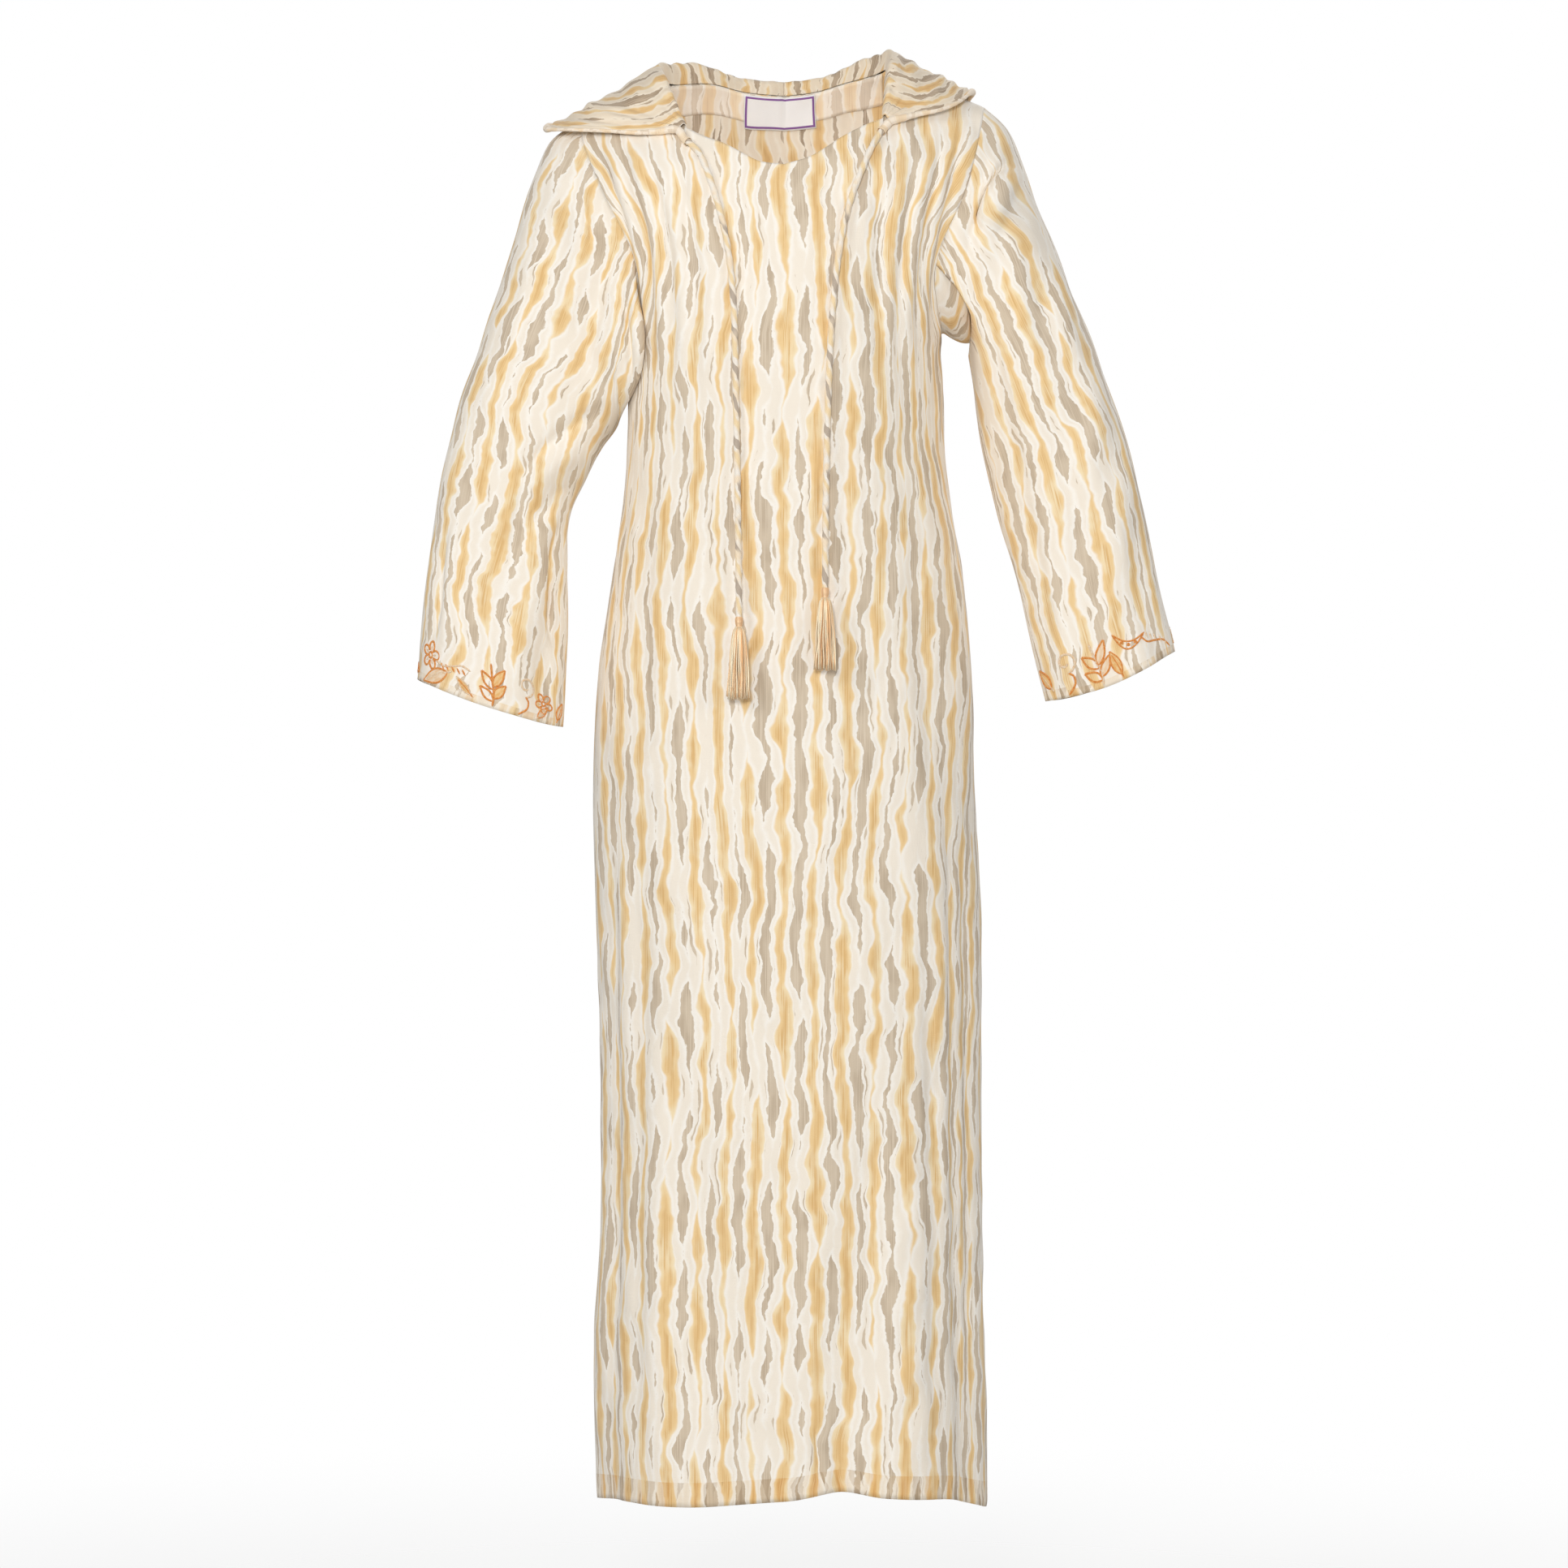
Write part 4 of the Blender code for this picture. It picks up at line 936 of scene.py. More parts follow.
def print_colour(across, along, tones):
    """The print: wavering lines of amber and of taupe strokes by turns, that swell and pinch out.

    Each line's half width is a base plus slow patches along it; a stroke shows where the distance from the
    line's middle is less. Amber has soft edges and a darker middle, and taupe has jagged edges and pale
    streaks. Here and there a thin sliver of taupe fills a gap midway between two lines.
    """
    sway = swing(patches(across, along, 8.0, 8.5), 0.0085)
    zigzag = swing(patches(across, along, 17.0, 27.0, 2.0), 0.0052)
    line = (across + (sway + zigzag)) / PRINT_PITCH
    number = calc("FLOOR", line + 0.5)
    off = abs(line - number)
    is_taupe = calc("FLOORED_MODULO", number, 2.0)
    is_amber = 1.0 - is_taupe
    swell = swing(patches(number, along, 5.3, 15.5, 1.6), 1.0)
    jagged = swing(patches(across, along, 210.0, 150.0, 2.5), 0.075)
    amber_in = calc("MINIMUM", swell * 0.56 + 0.350, 0.48) - off + jagged * 0.3
    taupe_in = calc("MINIMUM", swell * 0.56 + 0.205, 0.38) - off + jagged
    either = amber_in * is_amber + taupe_in * is_taupe
    between = abs(calc("FRACT", line) - 0.5)
    gap_swell = swing(patches(calc("FLOOR", line), along, 7.1, 21.0, 1.6), 1.0)
    sliver_half = calc("MINIMUM", gap_swell * 0.36 - 0.10, 0.13)
    sliver_in = calc("MINIMUM", sliver_half - between, -0.09 - either)
    sliver_on = soft_step(sliver_in + jagged * 0.6, 0.0, 0.05)
    amber_on = soft_step(amber_in, -0.05, 0.14) * is_amber
    taupe_on = calc("MAXIMUM", soft_step(taupe_in, 0.0, 0.05) * is_taupe, sliver_on)
    threads = patches(across, along, 900.0, 14.0, 2.0)
    washes = patches(across, along, 70.0, 26.0, 1.5)
    ground = tint(soft_step(either, -0.30, 0.02), tones.cream, tones.pale)
    middle = soft_step(amber_in, 0.12, 0.42) * soft_step(threads, 0.30, 0.64)
    amber = tint(middle, tint(soft_step(washes, 0.36, 0.60), tones.honey, tones.amber), tones.core)
    taupe = tint(soft_step(washes, 0.34, 0.62), tones.dark, tones.taupe)
    taupe = tint(soft_step(threads, 0.44, 0.70), taupe, tones.light)
    return tint(taupe_on, tint(amber_on, ground, amber), taupe)


def crinkled_weave(across, along):
    """Soft crinkles of light cotton over a plain weave of uneven threads both ways."""
    swells = bump(patches(across, along, 17.0, 9.0, 1.5), 0.0060, 0.65)
    crinkles = bump(patches(across, along, 60.0, 34.0, 2.0), 0.0016, 0.55, swells)
    weft = patches(across, along, 90.0, 1900.0, 0.0)
    warp = patches(across, along, 1900.0, 90.0, 0.0)
    return bump(weft + warp, 0.00012, 0.7, crinkles)


def voile(name, tones, doubled=False):
    """Printed voile. Where the cloth is double, as in a hem, the layer under it shows through the print."""
    made, shader = finish(name, 0.80, 0.20)
    across, along = cloth_place(made)
    colour = print_colour(across, along, tones)
    if doubled:
        colour = tint(0.55, colour, print_colour(across, 0.6 - along, RIGHT_TONES), "MULTIPLY")
    paint(shader, colour, crinkled_weave(across, along))
    return made


def sewn_sheet(piece, thickness, node):
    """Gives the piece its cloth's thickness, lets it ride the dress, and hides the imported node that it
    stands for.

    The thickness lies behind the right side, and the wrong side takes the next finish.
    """
    wall = piece.modifiers.new("cloth", "SOLIDIFY")
    wall.thickness = thickness
    wall.offset = -1.0
    wall.material_offset = 1
    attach(piece, "root")
    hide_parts(node)


def relaid_panel(face, creases, gathers, seed):
    """A panel's points with its creases and small swells laid on, and their (across, along) on the cut."""
    up, down = panel_rows()
    points = panel(panel_columns()[None, :], up, down, face)
    out = normals(points, False, face > 0)
    fade = fade_from(points)
    across, along = cut_place(points)
    swells = soft_relief(across, along, seed, *BROAD_SWELLS) * ease(along, 0.05, 0.5)
    swells = swells + soft_relief(across, along, seed + 1, *FINE_SWELLS)
    height, lean, taken = crease_relief(points, creases)
    facing = np.clip(np.abs(out[..., 1]) * 2.2, 0, 1)
    relaid = points + out * ((height * facing + swells) * fade)[..., None]
    relaid[..., [0, 2]] += lean * (facing * fade)[..., None]
    across = print_across(points, across, up) + taken[..., 0]
    return relaid, across + drawn_in(points, gathers), along - taken[..., 1]


def hem_kinds(along, turn):
    """0 for the cloth's faces and 2 for those of its turned end."""
    return np.where((along.max(axis=0) - along)[:-1, :-1] <= turn, 2, 0)


right_side = voile("printed_voile", RIGHT_TONES)
# The wrong side's finish carries painted shade: its tones are darker than the right side's, and the hood's
# inside takes them too, a little warmer.
shaded_wrong_side = voile("voile_shaded_wrong_side", SHADED_WRONG_TONES)
hood_tones = Tones(*(tuple(np.array(tone) * HOOD_WARMTH) for tone in SHADED_WRONG_TONES))
hood_inside = voile("voile_hood_inside", hood_tones)
hem_right = voile("doubled_hem", RIGHT_TONES, True)
hem_shaded_wrong = voile("doubled_hem_shaded_inside", SHADED_WRONG_TONES, True)
VOILE_FINISHES = [right_side, shaded_wrong_side, hem_right, hem_shaded_wrong]

front, front_across, front_along = relaid_panel(-1, FRONT_CREASES, FRONT_GATHERS, FRONT_SEED)
front_piece = grid_piece(
    "printed_front",
    front,
    VOILE_FINISHES,
    front_across,
    front_along,
    kinds=hem_kinds(front_along, HEM_TURN),
)
sewn_sheet(front_piece, VOILE, "front_panel")

# Back panel: the same length of voile with a high back neck, gathered a little by the fall from the
# shoulders.

BACK_CREASES = creases_of(
    (8.0, -3.4, 0.45, (-165, -30), (-150, -90), (-140, -150), (-136, -220)),
    (8.0, -3.4, 0.45, (160, -25), (150, -90), (142, -150), (138, -225)),
    (11.0, -3.4, 0.40, (-118, -300), (-112, -450), (-118, -620), (-124, -800)),
    (13.0, 3.4, 0.35, (-70, -320), (-66, -500), (-68, -700), (-74, -960)),
    (10.0, -3.6, 0.45, (-24, -330), (-20, -520), (-18, -740), (-20, -1000)),
    (13.0, 3.4, 0.35, (30, -310), (34, -500), (38, -720), (42, -980)),
    (11.0, -3.4, 0.40, (88, -320), (92, -500), (98, -680), (104, -900)),
    (6.0, -4.0, 0.55, (140, -560), (150, -760), (156, -1000), (160, -1312)),
    (6.0, -4.0, 0.55, (-142, -560), (-150, -760), (-154, -1000), (-156, -1312)),
    (9.0, -3.4, 0.45, (20, -900), (14, -1080), (10, -1312)),
    (9.0, 3.4, 0.45, (-90, -980), (-94, -1140), (-96, -1312)),
)
PrintPlace = namedtuple("PrintPlace", "across along")
BACK_PRINT = PrintPlace(0.31, 0.47)
BACK_SEED = 41
BACK_GATHERS = table_of(
    Gather,
    (-0.136, 0.020, 0.022, 0.06, 0.42),
    (0.136, 0.020, 0.022, 0.06, 0.42),
    (-0.020, 0.014, 0.016, 0.34, 1.10),
    (0.150, 0.014, 0.018, 0.56, 1.60),
    (-0.152, 0.014, 0.018, 0.56, 1.60),
)

back, back_across, back_along = relaid_panel(1, BACK_CREASES, BACK_GATHERS, BACK_SEED)
back_piece = grid_piece(
    "printed_back",
    back,
    VOILE_FINISHES,
    back_across + BACK_PRINT.across,
    back_along + BACK_PRINT.along,
    flip=True,
    kinds=hem_kinds(back_along, HEM_TURN),
)
sewn_sheet(back_piece, VOILE, "back_panel")

# Sleeves and underarm gussets: long straight sleeves set into the armholes and a little flared at slanted
# cuffs, each with a small square let in under the arm, its print running across.

Station = namedtuple("Station", "part outer outer_drop inner inner_drop forward half_depth")
SLEEVES = {
    "left": table_of(
        Station,
        (0.00, 0.195, 0.013, 0.160, 0.268, 0.000, 0.074),
        (0.05, 0.2235, 0.036, 0.1590, 0.286, 0.000, 0.073),
        (0.12, 0.241, 0.077, 0.1590, 0.302, 0.000, 0.070),
        (0.25, 0.262, 0.147, 0.172, 0.325, 0.004, 0.065),
        (0.40, 0.284, 0.218, 0.187, 0.354, 0.010, 0.060),
        (0.55, 0.307, 0.290, 0.200, 0.388, 0.018, 0.055),
        (0.70, 0.3245, 0.365, 0.2035, 0.440, 0.028, 0.050),
        (0.85, 0.337, 0.4545, 0.2035, 0.515, 0.038, 0.047),
        (1.00, 0.3457, 0.545, 0.2087, 0.590, 0.048, 0.046),
    ),
    "right": table_of(
        Station,
        (0.00, 0.190, 0.001, 0.1748, 0.238, 0.000, 0.074),
        (0.05, 0.2120, 0.021, 0.1768, 0.250, 0.000, 0.073),
        (0.12, 0.2256, 0.054, 0.1790, 0.264, 0.000, 0.070),
        (0.25, 0.250, 0.117, 0.1825, 0.292, 0.004, 0.066),
        (0.40, 0.280, 0.1925, 0.190, 0.333, 0.010, 0.062),
        (0.55, 0.3095, 0.2695, 0.2025, 0.385, 0.018, 0.058),
        (0.70, 0.331, 0.345, 0.2175, 0.438, 0.026, 0.056),
        (0.85, 0.350, 0.440, 0.2300, 0.500, 0.034, 0.055),
        (1.00, 0.3665, 0.519, 0.2456, 0.566, 0.042, 0.055),
    ),
}
BACKWARD = np.array([0.0, 1.0, 0.0])
UP = np.array([0.0, 0.0, 1.0])
CUFF_SAG = {"left": 0.0045, "right": 0.0085}
SLEEVE_ROWS = 150
SLEEVE_SET = 0.38
GUSSET_ANGLE = math.radians(114)
GUSSET_SAG = {"left": 0.001, "right": 0.042}
GUSSET_BEND = {"left": (0.006, 0.022, 0.012), "right": (0.026, 0.026, -0.026)}
Swell = namedtuple("Swell", "part angle long round shift")
SLEEVE_SWELLS = {"left": (Swell(0.06, 2.45, 0.10, 0.42, (0.024, -0.022, -0.004)),), "right": ()}
BIAS_CUT = math.sqrt(0.5)
SLEEVE_STROKES = {"left": 1.38, "right": 1.08}
SLEEVE_PRINT = {"left": PrintPlace(0.95, 0.23), "right": PrintPlace(1.37, 0.71)}
GUSSET_PRINT = PrintPlace(2.11, 0.4)
SLEEVE_SEEDS = {"left": 61, "right": 71}
SLEEVE_TWIST = 0.0014
SLEEVE_SOFT = (20.0, 9.0, 0.0009)
CUFF_TURN = 0.010
SLEEVE_CREASES = {
    "left": creases_of(
        (6.0, -7.5, 0.70, (-149, -165), (-146, -200), (-142, -240), (-143, -280)),
        (10.0, -5.0, 0.55, (-160, -140), (-172, -185), (-182, -235), (-186, -275)),
        (12.0, 4.2, 0.45, (-180, -70), (-190, -130), (-204, -190), (-220, -240)),
        (7.0, -5.6, 0.50, (-160, -286), (-194, -306), (-226, -334), (-250, -366)),
        (12.0, 5.0, 0.50, (-172, -330), (-204, -335), (-232, -356), (-262, -392)),
        (8.0, -4.6, 0.60, (-188, -362), (-210, -372), (-232, -398), (-250, -436)),
        (12.0, 3.6, 0.40, (-225, -110), (-240, -180), (-262, -250), (-282, -320)),
        (11.0, -3.8, 0.45, (-262, -400), (-280, -450), (-290, -500), (-300, -556)),
        (12.0, 3.6, 0.40, (-226, -430), (-240, -480), (-250, -530), (-256, -580)),
        (9.0, -3.4, 0.45, (-212, -450), (-218, -500), (-224, -550), (-228, -592)),
        (6.0, -5.0, 0.55, (-318, -395), (-322, -440), (-324, -476), (-334, -520)),
        (5.0, -7.2, 0.80, (-194, -62), (-187, -94), (-182, -118), (-175.5, -142)),
        (8.0, -5.0, 0.50, (-238, -336), (-247, -380), (-252, -417), (-254, -455)),
        (5.0, -7.0, 0.70, (-203, -386), (-213, -408), (-216.5, -440), (-214, -480), (-209, -530)),
    ),
    "right": creases_of(
        (5.0, -10.5, 0.90, (211, -54), (203, -74), (195.5, -89), (188, -111), (183.5, -130)),
        (8.0, -5.0, 0.55, (192, -30), (187, -70), (178, -120), (174, -170)),
        (12.0, 4.0, 0.40, (206, -80), (214, -140), (226, -210), (244, -290)),
        (10.0, -4.0, 0.50, (190, -190), (200, -250), (214, -320), (232, -400)),
        (13.0, 3.8, 0.40, (240, -130), (262, -200), (286, -280), (306, -360)),
        (11.0, -4.0, 0.45, (250, -300), (270, -370), (288, -440), (300, -520)),
        (12.0, 3.8, 0.40, (234, -420), (254, -470), (268, -520), (276, -566)),
        (10.0, -3.4, 0.45, (318, -380), (334, -440), (344, -500), (350, -540)),
        (8.0, -3.6, 0.50, (216, -360), (232, -410), (244, -460), (250, -520)),
    ),
}
SLEEVE_BACK_CREASES = {
    "left": creases_of(
        (11.0, -5.0, 0.50, (-162, -150), (-172, -210), (-186, -260), (-210, -300)),
        (12.0, 4.2, 0.45, (-190, -80), (-208, -150), (-228, -220), (-250, -290)),
        (10.0, -4.4, 0.50, (-178, -330), (-212, -340), (-244, -366), (-270, -400)),
        (12.0, 4.0, 0.40, (-222, -400), (-240, -460), (-252, -520), (-258, -580)),
        (10.0, -3.6, 0.45, (-280, -380), (-296, -450), (-308, -520), (-312, -560)),
    ),
    "right": creases_of(
        (11.0, -5.0, 0.50, (176, -100), (182, -160), (196, -220), (216, -270)),
        (12.0, 4.2, 0.45, (200, -60), (218, -130), (240, -200), (264, -270)),
        (10.0, -4.4, 0.50, (200, -300), (232, -320), (262, -350), (290, -390)),
        (12.0, 4.0, 0.40, (240, -380), (258, -440), (272, -500), (280, -560)),
        (10.0, -3.6, 0.45, (300, -360), (318, -420), (332, -480), (340, -530)),
    ),
}


def gusset_curve(side, face, seam_point, part):
    """The gusset's edge on the sleeve, a rounded bend from the armhole seam down to the sleeve's own seam."""
    station = SLEEVES[side][0]
    end = np.array([SIDES[side] * station.inner, 0.0, -station.inner_drop])
    bend = np.array([SIDES[side], face, -1.0]) * np.array(GUSSET_BEND[side])
    middle = (seam_point + end) / 2 + bend
    part = np.asarray(part)[:, None]
    return seam_point * (1 - part) ** 2 + middle * 2 * part * (1 - part) + end * part**2


def armhole_run(grid, side):
    """A panel's armhole points from the shoulder tip down to the underarm."""
    return grid[: YOKE_ROWS + 1, 0 if side == "left" else -1]


def sleeve_loop(side, front_grid, back_grid):
    """The sleeve's first ring: down the front armhole, round the gusset's edge, and up the back armhole."""
    sewn = YOKE_ROWS - GUSSET_ROWS
    front_run = armhole_run(front_grid, side)[: sewn + 1]
    back_run = armhole_run(back_grid, side)[: sewn + 1]
    parts = np.linspace(0, 1, GUSSET_ROWS + 1)
    front_edge = gusset_curve(side, -1, front_run[-1], parts)
    back_edge = gusset_curve(side, 1, back_run[-1], parts)
    loop = np.concatenate([front_run, front_edge[1:], back_edge[-2::-1], back_run[-2:0:-1]])
    return loop, front_edge, back_edge


def sleeve_angles():
    """Each column's angle round the sleeve, from the outer edge by the front to the underarm, and back."""
    sewn = YOKE_ROWS - GUSSET_ROWS
    down = np.linspace(0, GUSSET_ANGLE, sewn + 1)
    under = np.linspace(GUSSET_ANGLE, math.pi, GUSSET_ROWS + 1)[1:]
    half = np.concatenate([down, under])
    return np.concatenate([half, 2 * math.pi - half[-2:0:-1]])


def tube(side, part, angle):
    """The sleeve's plain tube: an ellipse at each station, its long axis from outer edge to inner edge."""
    table = SLEEVES[side]
    sign = SIDES[side]
    forward = -column(table, "forward", part)
    outer, inner = (
        np.stack([sign * column(table, edge, part), forward, -column(table, f"{edge}_drop", part)], -1)
        for edge in ("outer", "inner")
    )
    centre = (outer + inner) / 2
    depth = column(table, "half_depth", part)[..., None]
    power = 2 / SQUARENESS
    outward = (np.sign(np.cos(angle)) * np.abs(np.cos(angle)) ** power)[..., None]
    frontward = (np.sign(np.sin(angle)) * np.abs(np.sin(angle)) ** power)[..., None]
    sag = CUFF_SAG[side] * (1 - outward**2) * part[..., None] ** HEM_ONLY
    return centre + (outer - centre) * outward - depth * frontward * BACKWARD - sag * UP


def sleeve_grid(side, loop):
    """Rings from the armhole to the cuff: the tube, drawn to the armhole seam over its first stretch."""
    part = np.linspace(0, 1, SLEEVE_ROWS + 1)[:, None]
    part, angle = np.broadcast_arrays(part, sleeve_angles()[None, :])
    plain = tube(side, part, angle)
    pull = np.clip(1 - part / SLEEVE_SET, 0, 1) ** 2
    points = plain + (loop - plain[0]) * pull[..., None]
    for swell in SLEEVE_SWELLS[side]:
        away = ((part - swell.part) / swell.long) ** 2 + ((angle - swell.angle) / swell.round) ** 2
        points += (np.exp(-away) * ease(part, 0.0, 0.02))[..., None] * np.array(swell.shift)
    return points


def sleeve_cut(points, taken):
    """(across, along) on the flat cut: round from the outer edge both ways, and down the sleeve's own axis.

    A point's share of the width, seen from the front, gives its angle round the sleeve, and half the width
    times that angle is how far round it lies. The cloth that creases take up comes on top.
    """
    closed = np.concatenate([points, points[:, :1]], axis=1)
    taken = np.concatenate([taken, taken[:, :1]], axis=1)
    half = points.shape[1] // 2
    middle = points.mean(axis=1)
    axis = unit(middle[-1] - middle[0])
    inward = unit(np.array([-axis[2], 0.0, axis[0]])) * np.sign(-middle[0, 0] * -axis[2])
    along, aside = closed @ axis, closed @ inward
    outer = np.interp(along, along[:, 0], aside[:, 0])
    inner = np.interp(along, along[:, half], aside[:, half])
    width = np.maximum(inner - outer, 0.02)
    share = (aside - outer) / width
    round_way = width / 2 * np.arccos(1 - 2 * np.clip(share, 0, 1)) + width * np.maximum(share - 1, 0)
    round_way = round_way + taken @ inward[[0, 2]]
    along = along + taken @ axis[[0, 2]]
    at = np.arange(closed.shape[1])
    before = np.where(at <= half, round_way, -round_way)
    after = np.where(at < half, round_way, -round_way)
    return (after[:, :-1], before[:, 1:]), along


def gusset_grid(front_seam, back_seam, front_edge, back_edge, sag):
    """A square patch between four curves, from the underarm corner to the sleeve, lowest near the sleeve."""
    p = np.linspace(0, 1, GUSSET_ROWS + 1)[:, None, None]
    q = np.linspace(0, 1, GUSSET_ROWS + 1)[None, :, None]
    one_way = mix(front_seam[:, None], back_edge[:, None], q)
    other_way = mix(back_seam[None, :], front_edge[None, :], p)
    corners = mix(mix(front_seam[0], front_seam[-1], p), mix(back_seam[-1], back_edge[-1], p), q)
    lower = sag * (16 * p * (1 - p) * q * (1 - q)) ** 0.75 * mix(0.55, 1.45, (p + q) / 2)
    return one_way + other_way - corners - lower * UP


def relaid_sleeve(side, seed):
    """A sleeve's points with creases of its front and its back laid on, and small swells all round."""
    loop, front_edge, back_edge = sleeve_loop(side, front, back)
    points = sleeve_grid(side, loop)
    out = normals(points, True, side == "right")
    relief, lean, taken = 0.0, 0.0, 0.0
    for face, table in ((-1, SLEEVE_CREASES), (1, SLEEVE_BACK_CREASES)):
        facing = ease(face * out[..., 1], 0.0, 0.35)
        height, leaning, taking = crease_relief(points, table[side])
        relief = relief + height * facing
        lean = lean + leaning * facing[..., None]
        taken = taken + taking * facing[..., None]
    part = np.linspace(0, 1, SLEEVE_ROWS + 1)[:, None]
    turn = sleeve_angles()[None, :]
    relief += SLEEVE_TWIST * np.sin(3 * turn + 5.0 * part + seed) * ease(part, 0.1, 0.4)
    relief += soft_relief(points[..., 0] + points[..., 1] * 0.7, points[..., 2], seed, *SLEEVE_SOFT)
    set_in = ease(part, 0.0, 0.05)[..., None]
    relaid = points + out * relief[..., None] * set_in
    relaid[..., [0, 2]] += lean * set_in
    return relaid, taken, front_edge, back_edge


sleeves = {}
for side_name in SIDES:
    sleeve, sleeve_taken, front_edge, back_edge = relaid_sleeve(side_name, SLEEVE_SEEDS[side_name])
    sleeves[side_name] = sleeve
    sleeve_across, sleeve_along = sleeve_cut(sleeve, sleeve_taken)
    piece = grid_piece(
        f"printed_sleeve_{side_name}",
        sleeve,
        VOILE_FINISHES,
        tuple(reach + SLEEVE_PRINT[side_name].across for reach in sleeve_across),
        sleeve_along * SLEEVE_STROKES[side_name] + SLEEVE_PRINT[side_name].along,
        True,
        side_name == "right",
        hem_kinds(sleeve_along, CUFF_TURN),
    )
    sewn_sheet(piece, VOILE, f"sleeve_{side_name}")

    sewn_rows = YOKE_ROWS - GUSSET_ROWS
    front_seam = armhole_run(front, side_name)[: sewn_rows - 1 : -1]
    back_seam = armhole_run(back, side_name)[: sewn_rows - 1 : -1]
    gusset = gusset_grid(front_seam, back_seam, front_edge, back_edge, GUSSET_SAG[side_name])
    gusset_across = cut_place(gusset)[0]
    middle_column = gusset[:, GUSSET_ROWS // 2]
    spread = np.linalg.norm(middle_column - middle_column[0], axis=1)[:, None]
    piece = grid_piece(
        f"printed_gusset_{side_name}",
        gusset,
        VOILE_FINISHES[:2],
        (spread - gusset_across) * BIAS_CUT + GUSSET_PRINT.across,
        (spread + gusset_across) * BIAS_CUT + GUSSET_PRINT.along,
        flip=side_name == "right",
    )
    sewn_sheet(piece, VOILE, f"gusset_{side_name}")

# Cuff embroidery: leaves, flowers, curls and stems in satin stitch, outlined in copper thread and filled
# here and there in pale peach, worked on the sleeve's right side just above each cuff.

STITCH_RISE = 0.0006
STITCH_STEP = 0.0009
LEAF_FULL = 0.85
LEAF_ROWS = 22
LEAF_COLUMNS = 7
OUTLINE_HALF = 0.0008
CUFF_MARGIN = 0.0018
PetalFlower = namedtuple("PetalFlower", "petals inner outer")
FLOWER = PetalFlower(5, 0.0035, 0.0095)
Leaf = namedtuple("Leaf", "foot turn length")
SPRIG_LEAVES = table_of(
    Leaf,
    (-0.008, -0.75, 0.014),
    (0.000, -0.60, 0.016),
    (-0.010, 0.85, 0.013),
    (-0.002, 0.60, 0.014),
)
Motif = namedtuple("Motif", "kind place up size turn")
CUFF_MOTIFS = {
    "left": table_of(
        Motif,
        ("flower", 0.028, 0.026, 1.30, 0.2),
        ("filled", 0.007, 0.008, 0.85, 1.25),
        ("stem", 0.056, 0.025, 1.15, -1.50),
        ("filled", 0.052, 0.017, 1.30, 2.05),
        ("sprig", 0.098, 0.020, 1.30, 0.10),
        ("curl", 0.130, 0.020, 1.20, 0.00),
        ("flower", 0.154, 0.020, 1.10, 0.9),
        ("leaf", 0.172, 0.006, 1.10, -0.30),
        ("filled", 0.078, 0.006, 0.75, 0.95),
        ("filled", 0.146, 0.004, 0.70, -0.80),
    ),
    "right": table_of(
        Motif,
        ("stem", 0.042, 0.018, 1.25, 1.05),
        ("pod", 0.074, 0.033, 1.00, -1.89),
        ("leaf", 0.008, 0.010, 1.10, -0.80),
        ("sprig", 0.110, 0.021, 1.40, 0.15),
        ("filled", 0.088, 0.003, 0.95, 0.30),
        ("curl", 0.138, 0.022, 1.30, 0.10),
        ("leaf", 0.160, 0.012, 1.50, 0.65),
    ),
}


def satin(name, dark, light):
    """Satin stitch: smooth thread laid side by side, each a slightly different tone, with a soft gloss."""
    made, shader = finish(name, 0.42, 0.05)
    across, along = cloth_place(made)
    tone = patches(across, along, 150.0, 420.0, 2.0)
    thread = calc("SINE", (along + across * 0.6) * (2 * math.pi / 0.0006))
    paint(shader, tint(soft_step(tone, 0.34, 0.66), dark, light), bump(thread, 0.00012, 0.8))
    return made


def oval(length, half):
    """A leaf's outline from its base at the origin to its tip: width goes as the sine of the way along."""
    t = np.concatenate([np.linspace(0, 1, 13), np.linspace(1, 0, 13)[1:]])
    side = np.concatenate([np.ones(13), -np.ones(12)])
    return np.stack([side * half * np.sin(math.pi * t**LEAF_FULL), length * t], -1)


